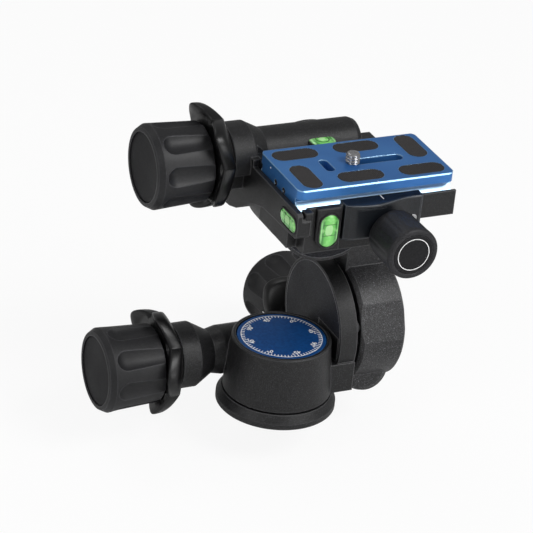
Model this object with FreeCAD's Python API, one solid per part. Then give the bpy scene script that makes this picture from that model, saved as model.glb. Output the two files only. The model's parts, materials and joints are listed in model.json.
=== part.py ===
"""Geared three-way pan and tilt head for a tripod, as separate pieces.

Frame: origin at the centre of the base's mounting face, on the pan axis; +Z up,
+X along the quick-release plate, towards the side tilt housing; the clamp's knob
points to -Y.  Every length is in millimetres and every angle in degrees.

The head has three equal worm drives.  Each is built once in a local frame: the worm
wheel's axis is the local Z, the worm runs along the local X with its knob at -X, and
the local Y points from the wheel to the worm.
"""
import FreeCAD, Part
import math
import os

V = FreeCAD.Vector
X_AXIS = V(1, 0, 0)
Y_AXIS = V(0, 1, 0)
Z_AXIS = V(0, 0, 1)
PARTS_DIR = "parts"
BEYOND = 100.0           # cutting shapes reach this far, past every piece

# ------------------------------------------------------------------ clearances
FACE_GAP = 0.02          # pieces of one body that touch
RUN_GAP = 0.05           # running fit, on the radius
OPEN_GAP = 0.4           # between faces that pass each other

# ------------------------------------------------------------------ worm gearing
MODULE = 0.6
WHEEL_TEETH = 45
WORM_PITCH_R = 3.6
PRESSURE_ANGLE = 20.0
FLANK_PLAY = 0.13        # clearance on each flank of the worm's thread
WHEEL_FACE = 5.0         # width of the wheel's rim
WORM_THREAD_HALF = 7.0   # the thread runs this far each side of the wheel's plane

PITCH = math.pi * MODULE
WHEEL_PITCH_R = MODULE * WHEEL_TEETH / 2
WHEEL_TIP_R = WHEEL_PITCH_R + MODULE
WHEEL_ROOT_R = WHEEL_PITCH_R - 1.25 * MODULE
WORM_TIP_R = WORM_PITCH_R + MODULE
WORM_ROOT_R = WORM_PITCH_R - 1.25 * MODULE
CENTRES = WHEEL_PITCH_R + WORM_PITCH_R
LEAD_ANGLE = math.degrees(math.atan(PITCH / (2 * math.pi * WORM_PITCH_R)))

# ------------------------------------------------------------------ quick release sleeve
ECCENTRICITY = 1.6       # worm axis to sleeve axis
REST_ANGLE = 30.0        # of the worm about the sleeve, from the line to the wheel
RELEASE_ANGLE = 60.0     # the ring's travel
SLEEVE_WALL = 0.8        # at its thinnest
SLEEVE_BORE_R = WORM_TIP_R + 0.2
SLEEVE_R = SLEEVE_BORE_R + ECCENTRICITY + SLEEVE_WALL
SLEEVE_Y = CENTRES + ECCENTRICITY * math.cos(math.radians(REST_ANGLE))
SLEEVE_Z = ECCENTRICITY * math.sin(math.radians(REST_ANGLE))
SLEEVE_END = 14.0        # inner end, past the wheel's plane
BARREL_BORE_R = SLEEVE_R + RUN_GAP
BUSH_LENGTH = 5.0
JOURNAL_R = 2.8

# ------------------------------------------------------------------ knob and ring
KNOB_R = 17.8            # at the outer end
KNOB_INNER_R = 16.6      # beside the ring
KNOB_LENGTH = 25.5
KNOB_BEVEL = 1.4
KNOB_FLUTES = 8
FLUTE_CUTTER_R = 7.0
FLUTE_DEPTH = 1.7
FLUTE_LENGTH = 20.5
KNOB_CAP_R = 14.6
KNOB_CAP_DEPTH = 1.6
KNOB_CAP_INSET = 0.6
KNOB_SHAFT_INSET = 7.6   # shaft's end, from the knob's end
CAP_STUD_R = 1.5
CAP_STUD_DEPTH = 5.0
RING_TO_KNOB = 0.7
RING_LENGTH = 7.2
RING_LOBES = 5
RING_LOBE_R = 23.2
RING_SHOULDER_R = 21.9   # halfway from a lobe to a valley
RING_VALLEY_R = 18.6
RING_LEAN = 3.6          # the lobes reach this far over the knob
RING_TO_COLLAR = 0.9
COLLAR_FROM_END = KNOB_LENGTH + RING_TO_KNOB + RING_LENGTH + RING_TO_COLLAR
SPRING_WIRE_R = 0.5
SPRING_COIL_R = 8.6
SPRING_TURN_ANGLE = 330.0
SPRING_LEG = 1.2
SPRING_POCKET_DEPTH = 5.0
SPRING_POCKET_R = 9.9

# distance from each wheel's plane to the outer end of its knob
PAN_REACH = 75.8
SIDE_REACH = 71.5
FRONT_REACH = 77.0

# ------------------------------------------------------------------ axes of the three drives
PAN_WHEEL_Z = 16.2
SIDE_AXIS_Y = 15.0
SIDE_AXIS_Z = 27.0
SIDE_WHEEL_X = 39.6
SIDE_WORM_SLOPE = 5.0    # the side worm runs down towards the back
FRONT_AXIS_X = 22.0
FRONT_AXIS_Z = 83.5
FRONT_WHEEL_Y = 31.5

# ------------------------------------------------------------------ base and pan housing
BASE_R = 25.3
BASE_EDGE_H = 2.6
BASE_TOP_R = 23.2
BASE_H = 6.0
HOUSING_GAP = 0.5        # between the base and the pan housing
HOUSING_FOOT_R = 22.9
HOUSING_TOP_R = 20.9
HOUSING_TOP_Z = 30.9
SPINDLE_R = 10.0
SPINDLE_BOSS_R = 12.0
THREAD_BUSH_R = 6.5
THREAD_BUSH_H = 12.0
TRIPOD_THREAD_R = 4.0    # bore of the 3/8-16 thread
PAN_CAVITY_R = 14.6
PAN_DECK_Z = 21.6
PAN_DECK_TOP = 25.6
PAN_BEARING_R = 16.4
PAN_BEARING_TOP = 9.0
DIAL_WELL_R = 19.2
CAP_R = 18.7
CAP_TOP = 28.9
DIAL_R = 18.85
DIAL_TOP = 30.5
CAP_SCREW_LENGTH = 8.0
CAP_SCREW_RADIUS = 7.0
CAP_SCREWS = 3
FIRST_SCREW_ANGLE = 45.0
SPINDLE_BORE_R = 2.5     # bore up the spindle, over the threaded bush
BASE_EDGE = 0.3
ARM_START_X = 12.0
ARM_HALF_WIDTH = 12.0
ARM_TOP_Z = 20.0

# ------------------------------------------------------------------ worm barrels
BARREL_R = 10.4
BARREL_END = 18.4        # outer end, past the wheel's plane
PAN_COLLAR_R = 13.9
PAN_NECK_R = 9.3
PAN_WAIST = (-33.0, -25.0, -20.0)
SIDE_COLLAR_R = 13.4
SIDE_WAIST = (-31.0, -27.0, -24.0)
FRONT_COLLAR_R = 14.0
FRONT_WAIST = (-33.0, -26.0, -24.5)

# ------------------------------------------------------------------ tilt joints
DISC_R = 27.0
SIDE_DISC_FACE = 17.8    # outer face of the fixed disc, from the wheel's plane
SIDE_DISC_BACK = 10.0    # its inner face
SIDE_HOUSING_FACE = 7.6
SIDE_HOUSING_END = -12.9
FRONT_DISC_R = 25.0
FRONT_DISC_FACE = 22.0
FRONT_DISC_BACK = 11.5
FRONT_HOUSING_FACE = 9.0
FRONT_HOUSING_END = -10.0
FRONT_HOUSING_R = 25.6
SIDE_FACE_EDGE = 1.6      # chamfers of the two housings
FRONT_FACE_EDGE = 1.2
DRUM_END_EDGE = 1.0
HUB_R = 10.4
HUB_BUSH_R = 11.8
AXLE_R = 5.0
AXLE_HEAD_R = 8.0
AXLE_HEAD_H = 3.0
AXLE_NUT_R = 8.4
AXLE_TAIL_R = 4.0
WHEEL_CAVITY_R = 15.0
REAR_COVER_R = 18.6
REAR_COVER_T = 1.9
REAR_BOSS_R = 7.4
SIDE_BOSS = 2.4
SIDE_TAIL = 11.2         # end of the side axle, from the wheel's plane
FRONT_TAIL = 6.4
SIDE_NUT = 3.4
FRONT_NUT = 3.2
PIVOT_COVER_T = 1.2
COVER_SCREW_RADIUS = 16.9
COVER_SCREWS = 4
COVER_SCREW_LENGTH = 4.4
SCREW_R = 1.25
SCREW_HEAD_R = 2.2
SCREW_HEAD_H = 1.2
FACET_FROM = 2.0         # flat on the side housing's front, above the -Y direction
FACET_TO = 38.0
NECK_WIDTH = 15.0
NECK_FROM = 18.0         # the neck starts this far over the side tilt axis
NECK_FOOT_OVER = 1.6     # its foot, over the side housing
STOP_R = 2.6
STOP_RADIUS = 22.5
STOP_ANGLE = 18.0
STOP_HEIGHT = 1.8
FRONT_DISC_TOP = 14.9    # height of the front disc above its axis, under the platform
FRONT_TILT_LIMITS = (-28.0, 55.0)

# ------------------------------------------------------------------ platform and clamp
PLATE_LENGTH = 70.0
PLATE_WIDTH = 38.0
PLATE_H = 10.0
PLATE_TOP = 110.8
PLATE_CENTRE_X = 24.0
PLATE_CENTRE_Y = -4.0
PLATE_CORNER_R = 3.0
PLATE_TOP_BEVEL = 0.5
DOVETAIL_FOOT = 0.6      # upright part of the plate's edge
DOVETAIL_TOP = 4.0       # height of the bevel's upper edge
GROOVE_TOP = 5.6
DOVETAIL_GAP = 0.1       # along Y, between bevel and jaw
SEAT_Z = PLATE_TOP - PLATE_H
PLATE_LEFT = PLATE_CENTRE_X - PLATE_LENGTH / 2
PLATE_RIGHT = PLATE_CENTRE_X + PLATE_LENGTH / 2
PLATE_FRONT_Y = PLATE_CENTRE_Y - PLATE_WIDTH / 2
PLATE_BACK_Y = PLATE_CENTRE_Y + PLATE_WIDTH / 2
EDGE_GAP = 0.3           # between the plate's upright edges and the clamp
DECK_Z = 106.8
PLATFORM_LEFT = -13.5
PLATFORM_RIGHT = 59.5
FLANK_T = 6.0
FLANK_FRONT_Y = -28.5
FLANK_EDGE = 1.0
FLANK_LOWER_EDGE = ((FLANK_FRONT_Y, 93.8), (FLANK_FRONT_Y + FLANK_EDGE, 92.6), (2.5, 91.3), (8.0, 89.7),
                    (13.5, 87.6), (19.6, 83.6), (26.7, 79.1), (33.4, 76.9), (39.0, 76.4))
END_STOP_Z = 103.6       # top of the wall at the plate's left end
ROOF_UNDER_Z = FRONT_AXIS_Z + FRONT_DISC_TOP + 0.6
BED_FRONT_Y = -18.0
BED_BACK_Y = 8.3
BED_LEFT_Z = 83.3
BED_MIDDLE_Z = 79.3
BED_RIGHT_Z = 92.6
BED_MIDDLE_X = 8.0
BED_RIGHT_X = 34.0
LEFT_BLOCK_X = (-7.7, 8.2)
LEFT_BLOCK_Y = -24.5
BLOCK_TOP_Z = SEAT_Z + 2.7
FAR_JAW_X = (-10.0, 58.0)
FAR_JAW_BACK_Y = 20.4
FAR_JAW_TOP = 5.0        # lip height above the seat
FAR_SCREW_LENGTH = 5.0
JAW_X = (8.7, 44.0)
JAW_BOTTOM_Z = 88.0
JAW_LIP_H = 3.0
JAW_FRONT_Y = -28.0
JAW_EDGE = 1.0
GUIDE_PIN_R = 1.5
GUIDE_PIN_X = (13.0, 40.5)
GUIDE_PIN_Z = 94.0
GUIDE_PIN_DEPTH = 8.0    # in the bed
GUIDE_PIN_OUT = 7.6      # past the bed's front
CLAMP_X = 29.0
CLAMP_Z = 90.7
CLAMP_SCREW_R = 3.0
CLAMP_SCREW_END_Y = -4.0
CLAMP_KNOB_R = 11.1
CLAMP_KNOB_END_Y = -49.0
CLAMP_KNOB_EDGE = 1.2
CLAMP_NECK_R = 7.0
CLAMP_NECK_LENGTH = 1.4
CLAMP_KNOB_WALL = 4.0    # between the cap and the screw's end
CLAMP_KNOB_FLUTES = 12
CLAMP_FLUTE_R = 1.5
CLAMP_CAP_R = 8.6
CLAMP_CAP_T = 1.0
JAW_SPRING_R = 5.2
JAW_SPRING_T = 0.5
JAW_SPRING_RISE = 0.6
JAW_SPRINGS = 5
JAW_SPRING_POCKET = 5.8

# ------------------------------------------------------------------ plate fittings and levels
PAD_LENGTH = 20.0
PAD_WIDTH = 8.5
PAD_T = 1.4
PAD_PROUD = 0.3
# each pad's place from the plate's centre, and its turn
PADS = ((-22.5, 12.3, 0), (5.3, 12.9, 0), (28.1, 7.7, 90),
        (-26.8, -7.2, 90), (-4.4, -11.7, 0), (22.9, -12.2, 0))
CAMERA_SCREW_X = 21.5
CAMERA_SLOT_END_X = 41.8
CAMERA_THREAD_R = 3.1    # outer radius of the 1/4-20 thread
CAMERA_SCREW_OUT = 4.5
CAMERA_NECK_R = 2.5
CAMERA_NECK_OUT = 0.2    # the thread starts this far above the plate
CAMERA_HEAD_R = 7.0
CAMERA_HEAD_H = 3.2
CAMERA_COIN_HALF = 0.7   # half-width of the slot in the head
CAMERA_COIN_DEPTH = 1.2
CAMERA_HEAD_INSET = 0.8  # head's face above the plate's underside
CAMERA_WASHER_R = 5.0
CAMERA_WASHER_T = 0.8
STRAP_SLOT_X = 9.9
STRAP_SLOT_HALF = 3.2
STRAP_SLOT_R = 2.0
SAFETY_SCREW_Y = (-8.9, -1.3)
SAFETY_SCREW_Z = 3.6     # axis above the plate's underside
SAFETY_SCREW_R = 1.4
SAFETY_SCREW_LENGTH = 6.0
ROUND_LEVEL = (20.5, 21.7)
ROUND_LEVEL_R = 4.0
ROUND_LEVEL_Z = (107.0, 108.8)
ROUND_LEVEL_PROUD = 0.4
ROUND_BOSS_R = 5.4
FRONT_LEVEL = (3.2, 93.0)
FRONT_LEVEL_HALF = 3.2
FRONT_LEVEL_R = 4.4
SIDE_LEVEL = (-20.5, 97.3)
SIDE_LEVEL_HALF = 4.0
SIDE_LEVEL_R = 3.2
LEVEL_DEPTH = 4.0
LEVEL_PROUD = 0.5

# ring and flute angles of each drive, about its worm
PAN_LOBE_ANGLE = 30.0
SIDE_LOBE_ANGLE = 15.0
FRONT_LOBE_ANGLE = 44.0
PAN_FLUTE_ANGLE = 5.0
SIDE_FLUTE_ANGLE = 20.0
FRONT_FLUTE_ANGLE = 36.0


def cylinder(radius, length, start, axis):
    return Part.makeCylinder(radius, length, start, axis)


def tube(outer, inner, length, start, axis):
    body = cylinder(outer, length, start, axis)
    margin = axis * 1.0
    return body.cut(cylinder(inner, length + 2, start - margin, axis))


def box(x0, x1, y0, y1, z0, z1):
    return Part.makeBox(x1 - x0, y1 - y0, z1 - z0, V(x0, y0, z0))


def fuse(shapes):
    body = shapes[0]
    if len(shapes) > 1:
        body = body.multiFuse(shapes[1:])
    return body.removeSplitter()


def revolved(points, centre, axis, radial):
    """Solid of revolution; points are (distance along axis, radius)."""
    path = [centre + axis * along + radial * out for along, out in points]
    face = Part.Face(Part.makePolygon(path + [path[0]]))
    return face.revolve(centre, axis, 360)


def capsule(centre, half_length, radius, depth, along, normal):
    """A flat-bottomed slot shape: two round ends and a straight middle."""
    side = normal.cross(along)
    low = centre - along * half_length
    high = centre + along * half_length
    ends = [cylinder(radius, depth, low, normal), cylinder(radius, depth, high, normal)]
    corners = [low - side * radius, high - side * radius, high + side * radius, low + side * radius]
    middle = Part.Face(Part.makePolygon(corners + [corners[0]])).extrude(normal * depth)
    return fuse(ends + [middle])


# ------------------------------------------------------------------ local frames
def local_frame(origin, x_dir, y_dir):
    z_dir = x_dir.cross(y_dir)
    matrix = FreeCAD.Matrix(
        x_dir.x, y_dir.x, z_dir.x, origin.x,
        x_dir.y, y_dir.y, z_dir.y, origin.y,
        x_dir.z, y_dir.z, z_dir.z, origin.z,
        0, 0, 0, 1)
    return FreeCAD.Placement(matrix)


def side_directions():
    slope = math.radians(SIDE_WORM_SLOPE)
    inward = V(0, -math.cos(slope), math.sin(slope))
    down = V(0, -math.sin(slope), -math.cos(slope))
    return inward, down


PAN_FRAME = local_frame(V(0, 0, PAN_WHEEL_Z), X_AXIS, Y_AXIS)
SIDE_FRAME = local_frame(V(SIDE_WHEEL_X, SIDE_AXIS_Y, SIDE_AXIS_Z), *side_directions())
FRONT_FRAME = local_frame(V(FRONT_AXIS_X, FRONT_WHEEL_Y, FRONT_AXIS_Z), X_AXIS, Z_AXIS)


def placed(shape, frame):
    copy = shape.copy()
    copy.transformShape(frame.toMatrix())
    return copy


# ------------------------------------------------------------------ worm drive pieces
def sleeve_axis(along):
    return V(along, SLEEVE_Y, SLEEVE_Z)


def worm_axis(along):
    return V(along, CENTRES, 0)


def worm_thread():
    """One helical thread, trimmed square at both ends."""
    tan_flank = math.tan(math.radians(PRESSURE_ANGLE))
    half_pitch_width = PITCH / 4 - FLANK_PLAY
    sink = 0.1
    root = WORM_ROOT_R - sink
    half_root = half_pitch_width + (WORM_PITCH_R - root) * tan_flank
    half_tip = half_pitch_width - MODULE * tan_flank
    length = 2 * WORM_THREAD_HALF + 2 * PITCH
    helix = Part.makeHelix(PITCH, length, WORM_ROOT_R)
    corners = [V(root, 0, -half_root), V(WORM_TIP_R, 0, -half_tip),
               V(WORM_TIP_R, 0, half_tip), V(root, 0, half_root)]
    profile = Part.makePolygon(corners + [corners[0]])
    thread = Part.Wire(helix.Edges).makePipeShell([profile], True, True)
    thread.translate(V(0, 0, -length / 2))
    span = cylinder(WORM_TIP_R + 1, 2 * WORM_THREAD_HALF, V(0, 0, -WORM_THREAD_HALF), Z_AXIS)
    thread = thread.common(span)
    thread.rotate(V(0, 0, 0), Y_AXIS, 90)
    # bring a crest to face the wheel at the wheel's plane
    middle_turn = 360.0 * (length / 2) / PITCH
    thread.rotate(V(0, 0, 0), X_AXIS, 270.0 - middle_turn)
    return thread


def worm_shaft(reach):
    """Worm and shaft in one piece, from the inner bush out into the knob."""
    inner_end = WORM_THREAD_HALF + 0.8 + BUSH_LENGTH
    outer_end = reach - KNOB_SHAFT_INSET - FACE_GAP
    shaft = cylinder(JOURNAL_R, inner_end + outer_end, V(-outer_end, 0, 0), X_AXIS)
    stud_room = KNOB_CAP_INSET + 0.2 + CAP_STUD_DEPTH + FACE_GAP
    shaft = shaft.cut(cylinder(CAP_STUD_R + FACE_GAP, stud_room + 1, V(-outer_end - 1, 0, 0), X_AXIS))
    thread = worm_thread()
    worm = shaft.fuse(cylinder(WORM_ROOT_R, 2 * WORM_THREAD_HALF, V(-WORM_THREAD_HALF, 0, 0), X_AXIS))
    worm = worm.fuse(thread)
    worm.translate(worm_axis(0))
    return worm


def bush_spans(reach):
    inner = WORM_THREAD_HALF + 0.6
    outer = -(reach - KNOB_LENGTH) + 0.4
    return [inner, outer]


def worm_bushes(reach):
    """The two plain bushes that carry the worm inside its sleeve."""
    return Part.makeCompound([
        tube(SLEEVE_BORE_R - FACE_GAP, JOURNAL_R + RUN_GAP, BUSH_LENGTH, worm_axis(start), X_AXIS)
        for start in bush_spans(reach)])


def sleeve(reach):
    """Eccentric sleeve that carries the worm; a window lets the wheel reach it."""
    outer = -(reach - KNOB_LENGTH)
    body = cylinder(SLEEVE_R, SLEEVE_END - outer, sleeve_axis(outer), X_AXIS)
    body = body.cut(cylinder(SLEEVE_BORE_R, SLEEVE_END - outer + 2, worm_axis(outer - 1), X_AXIS))
    clear_r = WHEEL_TIP_R + 0.5
    step = 10.0
    turn = 0.0
    while turn <= RELEASE_ANGLE:
        rim = cylinder(clear_r, WHEEL_FACE + 1.0, V(0, 0, -WHEEL_FACE / 2 - 0.5), Z_AXIS)
        rim.rotate(sleeve_axis(0), X_AXIS, -turn)
        body = body.cut(rim)
        turn += step
    return body


def lobed_outline(along):
    """Closed smooth curve through the ring's lobes, their shoulders and the valleys."""
    radii = (RING_LOBE_R, RING_SHOULDER_R, RING_VALLEY_R, RING_SHOULDER_R)
    points = []
    for index in range(4 * RING_LOBES):
        radius = radii[index % 4]
        angle = math.pi * index / (2 * RING_LOBES)
        points.append(V(along, radius * math.cos(angle), radius * math.sin(angle)))
    curve = Part.BSplineCurve()
    curve.interpolate(Points=points, PeriodicFlag=True)
    return Part.Wire([curve.toShape()])


def release_ring(reach, lobe_angle):
    """Lobed ring on the sleeve's outer end; its lobes lean over the knob."""
    inner_face = -(reach - COLLAR_FROM_END) - RING_TO_COLLAR
    outer_face = inner_face - RING_LENGTH
    section = [(inner_face, SLEEVE_R + FACE_GAP), (inner_face, RING_VALLEY_R - 2.4),
               (inner_face - 3.0, RING_LOBE_R + 1), (outer_face - RING_LEAN + 0.8, RING_LOBE_R + 1),
               (outer_face - RING_LEAN + 1.8, RING_LOBE_R - 2.2), (outer_face, RING_VALLEY_R - 0.6),
               (outer_face, SLEEVE_R + FACE_GAP)]
    leaning = revolved(section, V(0, 0, 0), X_AXIS, Y_AXIS)
    length = RING_LENGTH + 2 * RING_LEAN
    star = Part.Face(lobed_outline(outer_face - RING_LEAN)).extrude(V(length, 0, 0))
    ring = leaning.common(star)
    ring.rotate(V(0, 0, 0), X_AXIS, lobe_angle)
    ring.translate(sleeve_axis(0))
    return ring


def release_spring(reach):
    """Torsion spring of one open turn in the collar's pocket, with a leg at each end."""
    centre = sleeve_axis(-(reach - COLLAR_FROM_END) + SPRING_POCKET_DEPTH / 2 - 1.0)
    turn = Part.makeTorus(SPRING_COIL_R, SPRING_WIRE_R, V(0, 0, 0), Z_AXIS, 0, 360, SPRING_TURN_ANGLE)
    leg = cylinder(SPRING_WIRE_R, SPRING_LEG, V(SPRING_COIL_R, 0, 0), V(0, 0, 1))
    spring = turn.fuse(leg)
    spring.rotate(V(0, 0, 0), Y_AXIS, 90)
    spring.translate(centre)
    return spring


def knob(reach, flute_angle):
    """Fluted knob, hollow at its outer end for the cap."""
    outer = -reach
    inner = outer + KNOB_LENGTH
    section = [(inner - 0.6, 0), (inner, KNOB_INNER_R - 5.6), (inner, KNOB_INNER_R - 0.8),
               (inner - 0.8, KNOB_INNER_R), (outer + KNOB_BEVEL * 2, KNOB_R),
               (outer + 0.3, KNOB_R - KNOB_BEVEL), (outer, KNOB_CAP_R + 0.6), (outer, 0)]
    body = revolved(section, V(0, 0, 0), X_AXIS, Y_AXIS)
    cutter_r = FLUTE_CUTTER_R
    offset = (KNOB_R + KNOB_INNER_R) / 2 + cutter_r - FLUTE_DEPTH
    cut_start = inner - FLUTE_LENGTH + cutter_r * 0.55
    cutters = []
    for index in range(KNOB_FLUTES):
        rod = cylinder(cutter_r, FLUTE_LENGTH, V(cut_start, offset, 0), X_AXIS)
        nose = Part.makeSphere(cutter_r, V(cut_start, offset, 0))
        cutter = rod.fuse(nose)
        cutter.rotate(V(0, 0, 0), X_AXIS, flute_angle + 360.0 * index / KNOB_FLUTES)
        cutters.append(cutter)
    body = body.cut(Part.makeCompound(cutters))
    body = body.cut(cylinder(KNOB_CAP_R, KNOB_CAP_DEPTH + 1, V(outer - 1, 0, 0), X_AXIS))
    shaft_end = outer + KNOB_SHAFT_INSET
    body = body.cut(cylinder(JOURNAL_R + FACE_GAP, KNOB_LENGTH, V(shaft_end, 0, 0), X_AXIS))
    body = body.cut(cylinder(CAP_STUD_R + FACE_GAP, KNOB_SHAFT_INSET, V(outer, 0, 0), X_AXIS))
    body.translate(worm_axis(0))
    return body


def knob_cap(reach):
    """End disc with a stud that screws into the shaft and holds the knob on."""
    face = -reach + KNOB_CAP_INSET
    disc = cylinder(KNOB_CAP_R - 0.08, KNOB_CAP_DEPTH - KNOB_CAP_INSET - FACE_GAP, V(face, 0, 0), X_AXIS)
    rim = [edge for edge in disc.Edges if edge.BoundBox.XMax < face + 1e-6]
    disc = disc.makeFillet(0.35, rim)
    cap = disc.fuse(cylinder(CAP_STUD_R, KNOB_SHAFT_INSET + CAP_STUD_DEPTH, V(face + 0.2, 0, 0), X_AXIS))
    cap.translate(worm_axis(0))
    return cap


def worm_wheel(bore):
    """Worm wheel with straight gaps set at the worm's lead angle."""
    blank = tube(WHEEL_TIP_R, bore, WHEEL_FACE, V(0, 0, -WHEEL_FACE / 2), Z_AXIS)
    tan_flank = math.tan(math.radians(PRESSURE_ANGLE))
    half_pitch_width = PITCH / 4
    out_r = WHEEL_TIP_R + 0.4
    half_out = half_pitch_width + (out_r - WHEEL_PITCH_R) * tan_flank
    half_root = half_pitch_width - (WHEEL_PITCH_R - WHEEL_ROOT_R) * tan_flank
    reach = WHEEL_FACE
    corners = [V(-half_root, WHEEL_ROOT_R, -reach), V(half_root, WHEEL_ROOT_R, -reach),
               V(half_out, out_r, -reach), V(-half_out, out_r, -reach)]
    gap = Part.Face(Part.makePolygon(corners + [corners[0]])).extrude(V(0, 0, 2 * reach))
    gap.rotate(V(0, WHEEL_PITCH_R, 0), Y_AXIS, -LEAD_ANGLE)
    gaps = []
    for index in range(WHEEL_TEETH):
        cutter = gap.copy()
        cutter.rotate(V(0, 0, 0), Z_AXIS, 360.0 * index / WHEEL_TEETH)
        gaps.append(cutter)
    return blank.cut(Part.makeCompound(gaps))


def barrel_bore(reach):
    """Everything a drive takes out of its housing, in the drive's frame."""
    collar_face = -(reach - COLLAR_FROM_END)
    bore = cylinder(BARREL_BORE_R, SLEEVE_END + 0.3 - collar_face + 5, sleeve_axis(collar_face - 5), X_AXIS)
    pocket = cylinder(SPRING_POCKET_R, SPRING_POCKET_DEPTH + 5, sleeve_axis(collar_face - 5), X_AXIS)
    return bore.fuse(pocket)


def drive_pieces(prefix, frame, reach, lobe_angle, flute_angle):
    pieces = {
        "worm_shaft": worm_shaft(reach),
        "worm_bushes": worm_bushes(reach),
        "eccentric_sleeve": sleeve(reach),
        "release_ring": release_ring(reach, lobe_angle),
        "release_spring": release_spring(reach),
        "knob": knob(reach, flute_angle),
        "knob_cap": knob_cap(reach),
    }
    return {prefix + "_" + name: placed(shape, frame) for name, shape in pieces.items()}


# ------------------------------------------------------------------ tilt joint, shared by both
HUB_END = WHEEL_FACE / 2 + FACE_GAP      # the hub's end, against the wheel
CAVITY_START = 3.2                       # housing wall's inner face, from the wheel's plane
COVER_INSET = 1.2                        # rim left round a pivot cover


def tilt_hub(centre, toward, disc_back):
    """Boss on the fixed disc that carries the worm wheel."""
    start = centre + toward * HUB_END
    return cylinder(HUB_R, disc_back - HUB_END + 1, start, toward)


def axle_bore(centre, toward, disc_face):
    """Shaft bore, head pocket and cover recess, cut out of the fixed disc."""
    shaft = cylinder(AXLE_R + FACE_GAP, disc_face + 1, centre, toward)
    floor = disc_face - PIVOT_COVER_T - FACE_GAP - AXLE_HEAD_H
    depth = disc_face - PIVOT_COVER_T + 0.1 - floor
    pocket = cylinder(AXLE_HEAD_R + OPEN_GAP, depth, centre + toward * floor, toward)
    return shaft.fuse(pocket)


def tilt_axle(centre, toward, disc_face, tail_end):
    floor = disc_face - PIVOT_COVER_T - FACE_GAP - AXLE_HEAD_H
    shoulder = -WHEEL_FACE / 2 + 0.2
    head = cylinder(AXLE_HEAD_R, AXLE_HEAD_H - FACE_GAP, centre + toward * (floor + FACE_GAP), toward)
    shank = cylinder(AXLE_R, floor + 0.5 - shoulder, centre + toward * shoulder, toward)
    tail = cylinder(AXLE_TAIL_R, tail_end + shoulder + 0.5, centre - toward * tail_end, toward)
    return fuse([head, shank, tail])


def axle_nut(centre, toward, length):
    """Six-sided nut that clamps the wheel to the hub."""
    start = centre - toward * (WHEEL_FACE / 2 + FACE_GAP)
    side = Z_AXIS if abs(toward.z) < 0.5 else X_AXIS
    cross = toward.cross(side)
    corners = []
    for index in range(6):
        angle = math.radians(60 * index)
        corners.append(start + (side * math.cos(angle) + cross * math.sin(angle)) * AXLE_NUT_R)
    nut = Part.Face(Part.makePolygon(corners + [corners[0]])).extrude(toward * -length)
    return nut.cut(cylinder(AXLE_TAIL_R + FACE_GAP, length + 2, start + toward, toward * -1))


def hub_bush(centre, toward, housing_face):
    """Bush in the tilting housing, running on the hub and against the wheel."""
    start = HUB_END + OPEN_GAP / 4
    length = housing_face - start
    return tube(HUB_BUSH_R - FACE_GAP, HUB_R + RUN_GAP, length, centre + toward * start, toward)


def tilt_cavity(centre, toward, housing_face, housing_end):
    """Room for the wheel, the bush's bore and the rear cover's seat."""
    rear = housing_end + REAR_COVER_T
    room = cylinder(WHEEL_CAVITY_R, CAVITY_START - rear, centre + toward * rear, toward)
    bore = cylinder(HUB_BUSH_R, housing_face + 2, centre, toward)
    seat = cylinder(REAR_COVER_R, REAR_COVER_T + 2, centre + toward * (rear - REAR_COVER_T - 2), toward)
    return fuse([room, bore, seat])


def cover_screw_places(centre, toward, radius, first, count):
    side = Z_AXIS if abs(toward.z) < 0.5 else X_AXIS
    cross = toward.cross(side)
    places = []
    for index in range(count):
        angle = math.radians(first + 360.0 * index / count)
        places.append(centre + (side * math.cos(angle) + cross * math.sin(angle)) * radius)
    return places


def countersunk_screw(place, outward, length):
    """Flat-headed screw whose head's face is at the given place."""
    shank = cylinder(SCREW_R, length, place - outward * length, outward)
    head = Part.makeCone(SCREW_R, SCREW_HEAD_R, SCREW_HEAD_H, place - outward * SCREW_HEAD_H, outward)
    socket = cylinder(SCREW_R * 0.7, SCREW_HEAD_H, place - outward * (SCREW_HEAD_H - 0.2), outward)
    return shank.fuse(head).cut(socket)


def screw_hole(place, outward, length):
    """Clearance for a countersunk screw, in the cover and the metal below."""
    shank = cylinder(SCREW_R + FACE_GAP, length + 0.3, place - outward * (length + 0.3), outward)
    height = SCREW_HEAD_H + FACE_GAP
    below = place - outward * height
    head = Part.makeCone(SCREW_R + FACE_GAP, SCREW_HEAD_R + FACE_GAP, height, below, outward)
    return shank.fuse(head)


def screw_group(places, outward, length):
    return Part.makeCompound([countersunk_screw(place, outward, length) for place in places])


def holes_group(places, outward, length):
    return Part.makeCompound([screw_hole(place, outward, length) for place in places])


def barrel(reach, collar_r, neck_r, end_r, waist):
    """A drive's tube and collar, in its own frame; waist is (collar end, neck, barrel start)."""
    collar_face = -(reach - COLLAR_FROM_END)
    collar_end, neck, start = waist
    section = [(collar_face, 0), (collar_face, collar_r - 0.6), (collar_face + 0.6, collar_r),
               (collar_end, collar_r), (neck, neck_r), (start, BARREL_R),
               (BARREL_END - end_r, BARREL_R), (BARREL_END - end_r * 0.3, BARREL_R - end_r * 0.3),
               (BARREL_END, BARREL_R - end_r), (BARREL_END, 0)]
    body = revolved(section, V(0, 0, 0), X_AXIS, Y_AXIS)
    body.translate(sleeve_axis(0))
    return body


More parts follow.
